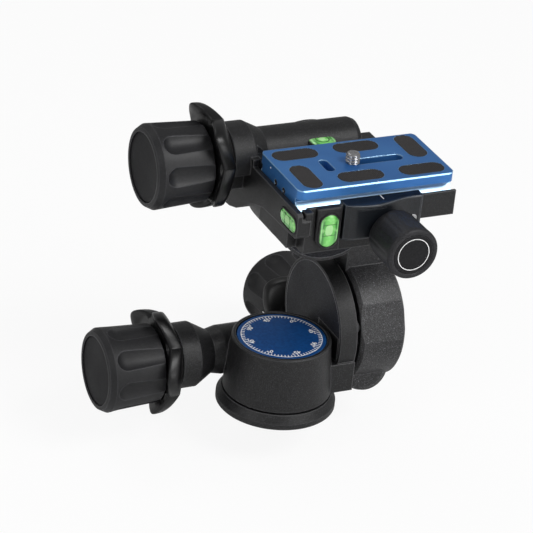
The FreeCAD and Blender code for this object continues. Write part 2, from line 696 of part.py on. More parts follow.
# ------------------------------------------------------------------ base
def base_disc():
    """Base plate, with the spindle that the pan housing turns on."""
    wheel_seat = PAN_WHEEL_Z - WHEEL_FACE / 2 - FACE_GAP
    spindle_top = PAN_DECK_TOP + RUN_GAP
    section = [(0, 0), (0, BASE_R - BASE_EDGE), (BASE_EDGE, BASE_R), (BASE_EDGE_H, BASE_R),
               (BASE_H, BASE_TOP_R), (BASE_H, SPINDLE_BOSS_R), (wheel_seat, SPINDLE_BOSS_R),
               (wheel_seat, SPINDLE_R), (spindle_top, SPINDLE_R), (spindle_top, 0)]
    body = revolved(section, V(0, 0, 0), Z_AXIS, X_AXIS)
    body = body.cut(cylinder(THREAD_BUSH_R + FACE_GAP, THREAD_BUSH_H + 1, V(0, 0, -1), Z_AXIS))
    body = body.cut(cylinder(SPINDLE_BORE_R, PAN_DECK_TOP, V(0, 0, THREAD_BUSH_H - 1), Z_AXIS))
    return body.cut(cap_screw_holes())


def tripod_thread_bush():
    return tube(THREAD_BUSH_R, TRIPOD_THREAD_R, THREAD_BUSH_H - FACE_GAP, V(0, 0, 0), Z_AXIS)


def pan_bearing():
    outer = PAN_BEARING_R - RUN_GAP
    height = PAN_BEARING_TOP - BASE_H - 2 * FACE_GAP
    return tube(outer, SPINDLE_BOSS_R + FACE_GAP, height, V(0, 0, BASE_H + FACE_GAP), Z_AXIS)


def cap_screw_places():
    return cover_screw_places(V(0, 0, CAP_TOP), Z_AXIS, CAP_SCREW_RADIUS, FIRST_SCREW_ANGLE, CAP_SCREWS)


def cap_screw_holes():
    return holes_group(cap_screw_places(), Z_AXIS, CAP_SCREW_LENGTH)


def pan_top_cap():
    start = PAN_DECK_TOP + RUN_GAP + FACE_GAP
    cap = cylinder(CAP_R, CAP_TOP - start, V(0, 0, start), Z_AXIS)
    return cap.cut(cap_screw_holes())


def pan_dial():
    start = CAP_TOP + FACE_GAP
    dial = cylinder(DIAL_R, DIAL_TOP - start, V(0, 0, start), Z_AXIS)
    rim = [edge for edge in dial.Edges if edge.BoundBox.ZMin > DIAL_TOP - 0.001]
    return dial.makeChamfer(0.3, rim)


# ------------------------------------------------------------------ pan housing
SIDE_CENTRE = V(SIDE_WHEEL_X, SIDE_AXIS_Y, SIDE_AXIS_Z)
SIDE_TOWARD = V(-1, 0, 0)
DISC_FLAT_Z = BASE_H + HOUSING_GAP       # the fixed disc is cut off level above the base


def side_disc_outline(radius, start, length, flat_z):
    disc = cylinder(radius, length, SIDE_CENTRE + SIDE_TOWARD * start, SIDE_TOWARD)
    return disc.cut(box(-50, 80, -60, 80, -60, flat_z))


def disc_arm(margin):
    """Block that ties the fixed disc to the pan housing, grown by a margin."""
    disc_back_x = SIDE_WHEEL_X - SIDE_DISC_BACK
    return box(ARM_START_X, disc_back_x, -ARM_HALF_WIDTH - margin, ARM_HALF_WIDTH + margin, DISC_FLAT_Z,
               ARM_TOP_Z + margin)


def pan_housing():
    foot = DISC_FLAT_Z
    shell = revolved([(foot, 0), (foot, HOUSING_FOOT_R - 0.5), (foot + 0.5, HOUSING_FOOT_R),
                      (HOUSING_TOP_Z - 0.5, HOUSING_TOP_R), (HOUSING_TOP_Z, HOUSING_TOP_R - 0.5),
                      (HOUSING_TOP_Z, 0)], V(0, 0, 0), Z_AXIS, X_AXIS)
    disc = side_disc_outline(DISC_R, SIDE_DISC_BACK, SIDE_DISC_FACE - SIDE_DISC_BACK, foot)
    arm = disc_arm(0)
    tube_body = placed(barrel(PAN_REACH, PAN_COLLAR_R, PAN_NECK_R, 3.0, PAN_WAIST), PAN_FRAME)
    tube_body = tube_body.cut(cylinder(BASE_R + 1.0, foot + 30, V(0, 0, -30), Z_AXIS))
    stop = stop_tab()
    hub = tilt_hub(SIDE_CENTRE, SIDE_TOWARD, SIDE_DISC_BACK)
    body = fuse([shell, disc, arm, tube_body, hub, stop])
    body = body.cut(cylinder(PAN_BEARING_R, PAN_BEARING_TOP - foot + 1, V(0, 0, foot - 1), Z_AXIS))
    body = body.cut(cylinder(PAN_CAVITY_R, PAN_DECK_Z - foot, V(0, 0, foot), Z_AXIS))
    body = body.cut(cylinder(SPINDLE_R + RUN_GAP, PAN_DECK_TOP, V(0, 0, foot), Z_AXIS))
    body = body.cut(cylinder(DIAL_WELL_R, 20, V(0, 0, PAN_DECK_TOP), Z_AXIS))
    body = body.cut(placed(barrel_bore(PAN_REACH), PAN_FRAME))
    recess = side_disc_outline(DISC_R - COVER_INSET, SIDE_DISC_FACE - PIVOT_COVER_T, PIVOT_COVER_T + 1,
                               foot + COVER_INSET)
    recess = recess.cut(cylinder(HOUSING_FOOT_R + 1, HOUSING_TOP_Z, V(0, 0, 0), Z_AXIS))
    body = body.cut(recess.cut(tube_body).cut(arm))
    return body.cut(axle_bore(SIDE_CENTRE, SIDE_TOWARD, SIDE_DISC_FACE))


def stop_tab():
    """Tab on the fixed disc's back that ends the side tilt's travel."""
    x = SIDE_WHEEL_X - SIDE_DISC_BACK
    tab = cylinder(STOP_R, STOP_HEIGHT + 1, V(x - 1, 0, 0), X_AXIS)
    angle = math.radians(STOP_ANGLE)
    tab.translate(V(0, SIDE_AXIS_Y, SIDE_AXIS_Z))
    tab.translate(V(0, -STOP_RADIUS * math.cos(angle), STOP_RADIUS * math.sin(angle)))
    return tab


def side_pivot_cover():
    gap = 0.1
    cover = side_disc_outline(DISC_R - COVER_INSET - gap, SIDE_DISC_FACE - PIVOT_COVER_T + FACE_GAP,
                              PIVOT_COVER_T - FACE_GAP, DISC_FLAT_Z + COVER_INSET + gap)
    cover = cover.cut(cylinder(HOUSING_FOOT_R + 1 + gap, HOUSING_TOP_Z, V(0, 0, 0), Z_AXIS))
    margin = placed(barrel(PAN_REACH + 1, PAN_COLLAR_R, PAN_NECK_R, 3.0, PAN_WAIST), PAN_FRAME)
    return cover.cut(margin).cut(disc_arm(gap))


# ------------------------------------------------------------------ side tilt housing
FRONT_CENTRE = V(FRONT_AXIS_X, FRONT_WHEEL_Y, FRONT_AXIS_Z)
FRONT_TOWARD = V(0, -1, 0)


def housing_facet():
    """Flat across the front of the side housing."""
    half = math.radians((FACET_TO - FACET_FROM) / 2)
    middle = math.radians((FACET_TO + FACET_FROM) / 2)
    depth = DISC_R * math.cos(half)
    cutter = box(0, BEYOND, -depth - BEYOND, -depth, -BEYOND, BEYOND)
    cutter.rotate(V(0, 0, 0), X_AXIS, -math.degrees(middle))
    cutter.translate(V(0, SIDE_AXIS_Y, SIDE_AXIS_Z))
    return cutter


def side_screw_places():
    end_x = SIDE_WHEEL_X - SIDE_HOUSING_END
    centre = V(end_x, SIDE_AXIS_Y, SIDE_AXIS_Z)
    return cover_screw_places(centre, SIDE_TOWARD, COVER_SCREW_RADIUS, FIRST_SCREW_ANGLE, COVER_SCREWS)


def side_housing():
    """Housing of the side tilt wheel, with the neck and the front tilt's fixed disc."""
    face_x = SIDE_WHEEL_X - SIDE_HOUSING_FACE
    end_x = SIDE_WHEEL_X - SIDE_HOUSING_END
    section = [(face_x, 0), (face_x, DISC_R - SIDE_FACE_EDGE), (face_x + SIDE_FACE_EDGE, DISC_R),
               (end_x - DRUM_END_EDGE, DISC_R), (end_x, DISC_R - DRUM_END_EDGE), (end_x, 0)]
    drum = revolved(section, V(0, SIDE_AXIS_Y, SIDE_AXIS_Z), X_AXIS, Y_AXIS)
    drum = drum.cut(housing_facet())
    tube_body = placed(barrel(SIDE_REACH, SIDE_COLLAR_R, BARREL_R, 3.0, SIDE_WAIST), SIDE_FRAME)
    room = cylinder(DISC_R + OPEN_GAP, face_x - 0.2, V(0, SIDE_AXIS_Y, SIDE_AXIS_Z), X_AXIS)
    tube_body = tube_body.cut(room)
    disc_back_y = FRONT_WHEEL_Y - FRONT_DISC_BACK
    disc_face_y = FRONT_WHEEL_Y - FRONT_DISC_FACE
    disc_place = V(FRONT_AXIS_X, disc_face_y, FRONT_AXIS_Z)
    disc = cylinder(FRONT_DISC_R, disc_back_y - disc_face_y, disc_place, Y_AXIS)
    neck_low = SIDE_AXIS_Z + NECK_FROM
    foot_top = SIDE_AXIS_Z + DISC_R + NECK_FOOT_OVER
    neck = box(face_x, face_x + NECK_WIDTH, disc_face_y, disc_back_y, neck_low + 2, FRONT_AXIS_Z - 8)
    neck_foot = box(face_x, end_x - 3, disc_face_y, disc_back_y + 2, neck_low, foot_top)
    upright = fuse([disc, neck]).cut(platform_sweep(disc_face_y - 1, disc_back_y + 1))
    hub = tilt_hub(FRONT_CENTRE, FRONT_TOWARD, FRONT_DISC_BACK)
    body = fuse([drum, tube_body, upright, neck_foot, hub])
    body = body.cut(tilt_cavity(SIDE_CENTRE, SIDE_TOWARD, SIDE_HOUSING_FACE, SIDE_HOUSING_END))
    body = body.cut(placed(barrel_bore(SIDE_REACH), SIDE_FRAME))
    cover = cylinder(FRONT_DISC_R - COVER_INSET, PIVOT_COVER_T + 1,
                     FRONT_CENTRE + FRONT_TOWARD * (FRONT_DISC_FACE - PIVOT_COVER_T), FRONT_TOWARD)
    body = body.cut(cover.cut(platform_sweep(0, 60, COVER_INSET)))
    body = body.cut(axle_bore(FRONT_CENTRE, FRONT_TOWARD, FRONT_DISC_FACE))
    return body.cut(holes_group(side_screw_places(), X_AXIS, COVER_SCREW_LENGTH))


def platform_sweep(y0, y1, margin=0.0):
    """What the platform's underside passes through over the front tilt's whole travel."""
    height = FRONT_DISC_TOP - margin
    span = 80.0
    halves = []
    for limit in FRONT_TILT_LIMITS:
        half = box(-span, span, y0, y1, height, span)
        half.rotate(V(0, 0, 0), Y_AXIS, limit)
        halves.append(half)
    wedge = revolved([(y0, height), (y1, height), (y1, span), (y0, span)], V(0, 0, 0), Y_AXIS, Z_AXIS)
    low, high = (math.radians(90 - limit) for limit in FRONT_TILT_LIMITS)
    reach = 3 * span
    fan = [V(0, y0, 0)]
    for index in range(5):
        angle = high + (low - high) * index / 4
        fan.append(V(reach * math.cos(angle), y0, reach * math.sin(angle)))
    sector = Part.Face(Part.makePolygon(fan + [fan[0]])).extrude(V(0, y1 - y0, 0))
    sweep = fuse(halves + [wedge.common(sector)])
    sweep.translate(V(FRONT_AXIS_X, 0, FRONT_AXIS_Z))
    return sweep


def front_pivot_cover():
    gap = 0.1
    start = FRONT_DISC_FACE - PIVOT_COVER_T + FACE_GAP
    cover = cylinder(FRONT_DISC_R - COVER_INSET - gap, PIVOT_COVER_T - FACE_GAP,
                     FRONT_CENTRE + FRONT_TOWARD * start, FRONT_TOWARD)
    return cover.cut(platform_sweep(0, 60, COVER_INSET + gap))


def rear_cover(centre, toward, housing_end, places, boss_length):
    """Screwed cover that closes a tilt housing behind the wheel."""
    seat = housing_end + REAR_COVER_T
    start = centre + toward * (seat - FACE_GAP)
    disc = cylinder(REAR_COVER_R - 0.1, REAR_COVER_T - FACE_GAP, start, toward * -1)
    if boss_length > 0:
        boss = cylinder(REAR_BOSS_R, boss_length + 0.5, centre + toward * (seat - 0.5), toward)
        disc = disc.fuse(boss)
        depth = boss_length + REAR_COVER_T * 0.4
        mouth = centre + toward * (seat + boss_length + 1)
        disc = disc.cut(cylinder(AXLE_TAIL_R + RUN_GAP, depth + 1, mouth, toward * -1))
    return disc.removeSplitter().cut(holes_group(places, toward * -1, COVER_SCREW_LENGTH))


# ------------------------------------------------------------------ top housing
def flank(x0, x1, front_top):
    """Left wall of the casting: its lower edge rises towards the front."""
    edge = FLANK_FRONT_Y + FLANK_EDGE
    back_y = FLANK_LOWER_EDGE[-1][0]
    top = [(back_y, DECK_Z), (PLATE_BACK_Y, DECK_Z), (PLATE_BACK_Y, front_top), (edge, front_top),
           (FLANK_FRONT_Y, front_top - FLANK_EDGE)]
    path = [V(x0, y, z) for y, z in list(FLANK_LOWER_EDGE) + top]
    return Part.Face(Part.makePolygon(path + [path[0]])).extrude(V(x1 - x0, 0, 0))


def top_screw_places():
    end_y = FRONT_WHEEL_Y - FRONT_HOUSING_END
    centre = V(FRONT_AXIS_X, end_y, FRONT_AXIS_Z)
    return cover_screw_places(centre, FRONT_TOWARD, COVER_SCREW_RADIUS, FIRST_SCREW_ANGLE, COVER_SCREWS)


def far_jaw_screw_places():
    inset = 6.0
    y = (PLATE_BACK_Y + EDGE_GAP + FAR_JAW_BACK_Y) / 2
    return [V(FAR_JAW_X[0] + inset, y, DECK_Z), V(FAR_JAW_X[1] - inset, y, DECK_Z)]


def clamp_holes():
    """Bores for the clamp screw, its spring and the guide pins."""
    front = BED_FRONT_Y - 0.5
    mouth = V(CLAMP_X, front, CLAMP_Z)
    holes = [cylinder(CLAMP_SCREW_R + RUN_GAP, CLAMP_SCREW_END_Y + 1 - front, mouth, Y_AXIS),
             cylinder(JAW_SPRING_R + OPEN_GAP, JAW_SPRING_POCKET + 0.5, mouth, Y_AXIS)]
    for x in GUIDE_PIN_X:
        start = V(x, front, GUIDE_PIN_Z)
        holes.append(cylinder(GUIDE_PIN_R + FACE_GAP, GUIDE_PIN_DEPTH + 0.5, start, Y_AXIS))
    return Part.makeCompound(holes)


def bed():
    """Blocks under the plate, in front of the front tilt's disc."""
    left = box(PLATFORM_LEFT + 1.5, BED_MIDDLE_X + 1, BED_FRONT_Y, BED_BACK_Y, BED_LEFT_Z, SEAT_Z)
    middle = box(BED_MIDDLE_X, BED_RIGHT_X, BED_FRONT_Y, BED_BACK_Y, BED_MIDDLE_Z, SEAT_Z)
    right = box(BED_RIGHT_X - 1, PLATFORM_RIGHT, BED_FRONT_Y, BED_BACK_Y, BED_RIGHT_Z, SEAT_Z)
    block_back = BED_FRONT_Y + 1
    left_block = box(LEFT_BLOCK_X[0], LEFT_BLOCK_X[1], LEFT_BLOCK_Y, block_back, BED_LEFT_Z, BLOCK_TOP_Z)
    right_start = JAW_X[1] + OPEN_GAP
    right_block = box(right_start, PLATFORM_RIGHT, LEFT_BLOCK_Y, block_back, BED_RIGHT_Z, BLOCK_TOP_Z)
    return [left, middle, right, left_block, right_block]


def top_housing():
    """Casting that carries the clamp: wheel housing, worm barrel and platform."""
    face_y = FRONT_WHEEL_Y - FRONT_HOUSING_FACE
    end_y = FRONT_WHEEL_Y - FRONT_HOUSING_END
    section = [(face_y, 0), (face_y, FRONT_HOUSING_R - FRONT_FACE_EDGE),
               (face_y + FRONT_FACE_EDGE, FRONT_HOUSING_R), (end_y - DRUM_END_EDGE, FRONT_HOUSING_R),
               (end_y, FRONT_HOUSING_R - DRUM_END_EDGE), (end_y, 0)]
    drum = revolved(section, V(FRONT_AXIS_X, 0, FRONT_AXIS_Z), Y_AXIS, X_AXIS)
    tube_body = placed(barrel(FRONT_REACH, FRONT_COLLAR_R, BARREL_R, 3.0, FRONT_WAIST), FRONT_FRAME)
    tube_body = tube_body.cut(box(-BEYOND, BEYOND, 0, face_y, 0, ROOF_UNDER_Z))
    roof = box(PLATFORM_LEFT + 1, PLATFORM_RIGHT, BED_FRONT_Y, face_y + 4, ROOF_UNDER_Z, SEAT_Z)
    deck = box(PLATFORM_LEFT, PLATFORM_RIGHT - 14, PLATE_BACK_Y, face_y + 5, ROOF_UNDER_Z, DECK_Z)
    web = box(PLATFORM_LEFT, FRONT_AXIS_X, face_y, end_y - 4, FRONT_AXIS_Z, ROOF_UNDER_Z + 1)
    wall = flank(PLATFORM_LEFT, PLATE_LEFT - EDGE_GAP, END_STOP_Z)
    side_wall = flank(PLATFORM_LEFT, PLATFORM_LEFT + FLANK_T, SEAT_Z)
    body = fuse([drum, tube_body, side_wall, wall, roof, deck, web, level_boss(0)] + bed())
    seat = box(PLATE_LEFT - EDGE_GAP, BEYOND, PLATE_FRONT_Y - EDGE_GAP, PLATE_BACK_Y + EDGE_GAP,
               SEAT_Z, 2 * BEYOND)
    body = body.cut(seat)
    body = body.cut(tilt_cavity(FRONT_CENTRE, FRONT_TOWARD, FRONT_HOUSING_FACE, FRONT_HOUSING_END))
    body = body.cut(placed(barrel_bore(FRONT_REACH), FRONT_FRAME))
    body = body.cut(clamp_holes())
    levels = [round_level(FACE_GAP), front_level(FACE_GAP), side_level(FACE_GAP)]
    body = body.cut(Part.makeCompound(levels))
    body = body.cut(far_jaw_blank(FACE_GAP))
    body = body.cut(holes_group(far_jaw_screw_places(), Z_AXIS, FAR_SCREW_LENGTH))
    return body.cut(holes_group(top_screw_places(), Y_AXIS, COVER_SCREW_LENGTH))


def level_boss(margin):
    height = ROUND_LEVEL_Z[1] - ROUND_LEVEL_PROUD - ROOF_UNDER_Z
    return cylinder(ROUND_BOSS_R + margin, height, V(*ROUND_LEVEL, ROOF_UNDER_Z), Z_AXIS)


def far_jaw_blank(margin):
    blank = box(FAR_JAW_X[0] - margin, FAR_JAW_X[1] + margin, PLATE_BACK_Y, FAR_JAW_BACK_Y + margin,
                SEAT_Z - margin, DECK_Z + 5)
    return blank.cut(level_boss(0))


def far_jaw():
    """Fixed jaw: its lip reaches over the plate's bevel."""
    edge = PLATE_BACK_Y + EDGE_GAP
    lip_y = PLATE_BACK_Y - (DOVETAIL_TOP - DOVETAIL_FOOT) + 0.5
    lip_h = DOVETAIL_FOOT + PLATE_BACK_Y + DOVETAIL_GAP - lip_y
    foot_h = DOVETAIL_FOOT + DOVETAIL_GAP - EDGE_GAP
    corners = [(edge, SEAT_Z), (FAR_JAW_BACK_Y, SEAT_Z), (FAR_JAW_BACK_Y, DECK_Z), (edge, DECK_Z),
               (edge, SEAT_Z + FAR_JAW_TOP), (lip_y, SEAT_Z + FAR_JAW_TOP), (lip_y, SEAT_Z + lip_h),
               (edge, SEAT_Z + foot_h)]
    path = [V(FAR_JAW_X[0], y, z) for y, z in corners]
    jaw = Part.Face(Part.makePolygon(path + [path[0]])).extrude(V(FAR_JAW_X[1] - FAR_JAW_X[0], 0, 0))
    return jaw.cut(level_boss(FACE_GAP)).cut(holes_group(far_jaw_screw_places(), Z_AXIS, FAR_SCREW_LENGTH))


def round_level(margin):
    low, high = ROUND_LEVEL_Z
    return cylinder(ROUND_LEVEL_R + margin, high - low + margin, V(*ROUND_LEVEL, low - margin), Z_AXIS)


def front_level(margin):
    """Upright vial in the front-left block."""
    x, z = FRONT_LEVEL
    centre = V(x, LEFT_BLOCK_Y - LEVEL_PROUD, z)
    depth = LEVEL_DEPTH + LEVEL_PROUD + margin
    return capsule(centre, FRONT_LEVEL_HALF, FRONT_LEVEL_R + margin, depth, Z_AXIS, Y_AXIS)


def side_level(margin):
    """Vial in the casting's left wall."""
    y, z = SIDE_LEVEL
    centre = V(PLATFORM_LEFT - LEVEL_PROUD, y, z)
    depth = LEVEL_DEPTH + LEVEL_PROUD + margin
    return capsule(centre, SIDE_LEVEL_HALF, SIDE_LEVEL_R + margin, depth, Y_AXIS, X_AXIS)


# ------------------------------------------------------------------ moving jaw and its knob
def clamp_jaw():
    inner = BED_FRONT_Y - RUN_GAP
    lip_y = PLATE_FRONT_Y + JAW_LIP_H - DOVETAIL_FOOT - DOVETAIL_GAP
    edge = PLATE_FRONT_Y - EDGE_GAP
    foot_h = DOVETAIL_FOOT + DOVETAIL_GAP - EDGE_GAP
    under = SEAT_Z - 2 * RUN_GAP
    top = SEAT_Z + JAW_LIP_H
    corners = [(inner, JAW_BOTTOM_Z), (inner, under), (edge, under), (edge, SEAT_Z + foot_h), (lip_y, top),
               (JAW_FRONT_Y + JAW_EDGE, top), (JAW_FRONT_Y, top - JAW_EDGE),
               (JAW_FRONT_Y, JAW_BOTTOM_Z + JAW_EDGE), (JAW_FRONT_Y + JAW_EDGE, JAW_BOTTOM_Z)]
    path = [V(JAW_X[0], y, z) for y, z in corners]
    jaw = Part.Face(Part.makePolygon(path + [path[0]])).extrude(V(JAW_X[1] - JAW_X[0], 0, 0))
    jaw = jaw.cut(cylinder(CLAMP_SCREW_R + RUN_GAP, 20, V(CLAMP_X, JAW_FRONT_Y - 1, CLAMP_Z), Y_AXIS))
    for x in GUIDE_PIN_X:
        mouth = V(x, inner + 0.5, GUIDE_PIN_Z)
        jaw = jaw.cut(cylinder(GUIDE_PIN_R + RUN_GAP, GUIDE_PIN_OUT + 1, mouth, V(0, -1, 0)))
    return jaw


def jaw_guide_pins():
    start = BED_FRONT_Y - GUIDE_PIN_OUT
    length = GUIDE_PIN_OUT + GUIDE_PIN_DEPTH - 0.1
    pins = [cylinder(GUIDE_PIN_R, length, V(x, start, GUIDE_PIN_Z), Y_AXIS) for x in GUIDE_PIN_X]
    return Part.makeCompound(pins)


def jaw_spring():
    """Stack of disc springs round the clamp screw; it opens the jaw."""
    bore = CLAMP_SCREW_R + 0.2
    floor = BED_FRONT_Y + JAW_SPRING_POCKET
    pitch = JAW_SPRING_T + JAW_SPRING_RISE
    stack = []
    for index in range(JAW_SPRINGS):
        far = floor - FACE_GAP - index * (pitch + FACE_GAP)
        inner_far = far if index % 2 == 0 else far - JAW_SPRING_RISE
        outer_far = far - JAW_SPRING_RISE if index % 2 == 0 else far
        section = [(inner_far, bore), (inner_far - JAW_SPRING_T, bore),
                   (outer_far - JAW_SPRING_T, JAW_SPRING_R), (outer_far, JAW_SPRING_R)]
        stack.append(revolved(section, V(CLAMP_X, 0, CLAMP_Z), Y_AXIS, X_AXIS))
    return Part.makeCompound(stack)


def clamp_screw():
    start = CLAMP_KNOB_END_Y + CLAMP_CAP_T + CLAMP_KNOB_WALL
    return cylinder(CLAMP_SCREW_R, CLAMP_SCREW_END_Y - start, V(CLAMP_X, start, CLAMP_Z), Y_AXIS)


def clamp_knob():
    root = JAW_FRONT_Y - RUN_GAP
    end = CLAMP_KNOB_END_Y
    shoulder = root - CLAMP_NECK_LENGTH
    inside = CLAMP_KNOB_R - CLAMP_KNOB_EDGE
    section = [(end, 0), (end, inside), (end + CLAMP_KNOB_EDGE, CLAMP_KNOB_R),
               (shoulder - CLAMP_KNOB_EDGE, CLAMP_KNOB_R), (shoulder, inside), (shoulder, CLAMP_NECK_R),
               (root, CLAMP_NECK_R), (root, 0)]
    body = revolved(section, V(CLAMP_X, 0, CLAMP_Z), Y_AXIS, X_AXIS)
    grooves = []
    for index in range(CLAMP_KNOB_FLUTES):
        angle = 2 * math.pi * (index + 0.5) / CLAMP_KNOB_FLUTES
        reach = CLAMP_KNOB_R + CLAMP_FLUTE_R * 0.45
        start = end + 2 * CLAMP_KNOB_EDGE
        centre = V(CLAMP_X + reach * math.cos(angle), start, CLAMP_Z + reach * math.sin(angle))
        grooves.append(cylinder(CLAMP_FLUTE_R, root - end, centre, Y_AXIS))
    body = body.cut(Part.makeCompound(grooves))
    body = body.cut(cylinder(CLAMP_CAP_R, CLAMP_CAP_T + 1, V(CLAMP_X, end - 1, CLAMP_Z), Y_AXIS))
    screw_start = CLAMP_KNOB_END_Y + CLAMP_CAP_T + CLAMP_KNOB_WALL - FACE_GAP
    return body.cut(cylinder(CLAMP_SCREW_R + FACE_GAP, BEYOND, V(CLAMP_X, screw_start, CLAMP_Z), Y_AXIS))


def clamp_knob_cap():
    start = CLAMP_KNOB_END_Y + 0.1
    return cylinder(CLAMP_CAP_R - 0.05, CLAMP_CAP_T - 0.1 - FACE_GAP, V(CLAMP_X, start, CLAMP_Z), Y_AXIS)


# ------------------------------------------------------------------ quick-release plate
def plate_blank():
    """Dovetail section along X, with rounded corners."""
    half = PLATE_WIDTH / 2
    waist = half - (DOVETAIL_TOP - DOVETAIL_FOOT)
    lip = GROOVE_TOP + 0.3
    right = [(half, 0), (half, DOVETAIL_FOOT), (waist, DOVETAIL_TOP), (waist, GROOVE_TOP), (half, lip),
             (half, PLATE_H - PLATE_TOP_BEVEL), (half - PLATE_TOP_BEVEL, PLATE_H)]
    corners = right + [(-w, h) for w, h in reversed(right)]
    path = [V(PLATE_LEFT, PLATE_CENTRE_Y + w, SEAT_Z + h) for w, h in corners]
    bar = Part.Face(Part.makePolygon(path + [path[0]])).extrude(V(PLATE_LENGTH, 0, 0))
    outline = box(PLATE_LEFT, PLATE_RIGHT, PLATE_FRONT_Y, PLATE_BACK_Y, SEAT_Z, PLATE_TOP)
    upright = [edge for edge in outline.Edges if edge.BoundBox.ZLength > 1]
    return bar.common(outline.makeFillet(PLATE_CORNER_R, upright))


def pad_shape(pad, margin, height):
    x, y, turn = pad
    along = X_AXIS if turn == 0 else Y_AXIS
    centre = V(PLATE_CENTRE_X + x, PLATE_CENTRE_Y + y, PLATE_TOP - PAD_T + PAD_PROUD - margin)
    radius = PAD_WIDTH / 2
    return capsule(centre, PAD_LENGTH / 2 - radius, radius + margin, height, along, Z_AXIS)


def plate_pads():
    return Part.makeCompound([pad_shape(pad, 0, PAD_T) for pad in PADS])


def camera_screw():
    """1/4-20 screw, slotted head under the plate, its neck in the plate's slot."""
    head_z = SEAT_Z + CAMERA_HEAD_INSET
    centre = V(CAMERA_SCREW_X, PLATE_CENTRE_Y, head_z)
    neck = cylinder(CAMERA_NECK_R, PLATE_TOP - head_z + CAMERA_NECK_OUT + 0.5, centre, Z_AXIS)
    thread_z = PLATE_TOP + CAMERA_NECK_OUT
    thread_place = V(CAMERA_SCREW_X, PLATE_CENTRE_Y, thread_z)
    thread = cylinder(CAMERA_THREAD_R, CAMERA_SCREW_OUT - CAMERA_NECK_OUT, thread_place, Z_AXIS)
    tip = [edge for edge in thread.Edges if edge.BoundBox.ZMin > thread_z + 1]
    head = cylinder(CAMERA_HEAD_R, CAMERA_HEAD_H, centre, Z_AXIS)
    screw = fuse([head, neck, thread.makeChamfer(0.5, tip)])
    near, far = PLATE_CENTRE_Y - CAMERA_COIN_HALF, PLATE_CENTRE_Y + CAMERA_COIN_HALF
    slot = box(-BEYOND, BEYOND, near, far, head_z - 1, head_z + CAMERA_COIN_DEPTH)
    return screw.cut(slot)


def camera_screw_washer():
    """Washer above the screw's head; it carries the screw along the plate's slot."""
    base = SEAT_Z + CAMERA_HEAD_INSET + CAMERA_HEAD_H + FACE_GAP
    return tube(CAMERA_WASHER_R, CAMERA_NECK_R + RUN_GAP, CAMERA_WASHER_T - 2 * FACE_GAP,
                V(CAMERA_SCREW_X, PLATE_CENTRE_Y, base), Z_AXIS)


def camera_slot(radius, low, high):
    middle = (CAMERA_SCREW_X + CAMERA_SLOT_END_X) / 2
    half = (CAMERA_SLOT_END_X - CAMERA_SCREW_X) / 2
    return capsule(V(middle, PLATE_CENTRE_Y, low), half, radius, high - low, X_AXIS, Z_AXIS)


def safety_screws():
    """Two socket screws in the plate's left end, over the clamp's end stop."""
    group = []
    for y in SAFETY_SCREW_Y:
        start = V(PLATE_LEFT + 0.1, y, SEAT_Z + SAFETY_SCREW_Z)
        stud = cylinder(SAFETY_SCREW_R, SAFETY_SCREW_LENGTH - 0.1 - FACE_GAP, start, X_AXIS)
        group.append(stud.cut(cylinder(SAFETY_SCREW_R * 0.55, 1.5, start, X_AXIS)))
    return Part.makeCompound(group)


def quick_release_plate():
    body = plate_blank()
    body = body.cut(Part.makeCompound([pad_shape(pad, FACE_GAP, PAD_T + 2) for pad in PADS]))
    head_top = SEAT_Z + CAMERA_HEAD_INSET + CAMERA_HEAD_H + CAMERA_WASHER_T + FACE_GAP
    body = body.cut(camera_slot(CAMERA_HEAD_R + OPEN_GAP, SEAT_Z - 1, head_top))
    body = body.cut(camera_slot(CAMERA_NECK_R + RUN_GAP, SEAT_Z - 1, PLATE_TOP + 1))
    strap = V(STRAP_SLOT_X, PLATE_CENTRE_Y, SEAT_Z - 1)
    body = body.cut(capsule(strap, STRAP_SLOT_HALF, STRAP_SLOT_R, PLATE_H + 2, Y_AXIS, Z_AXIS))
    for y in SAFETY_SCREW_Y:
        mouth = V(PLATE_LEFT - 1, y, SEAT_Z + SAFETY_SCREW_Z)
        body = body.cut(cylinder(SAFETY_SCREW_R + FACE_GAP, SAFETY_SCREW_LENGTH + 1, mouth, X_AXIS))
    return body


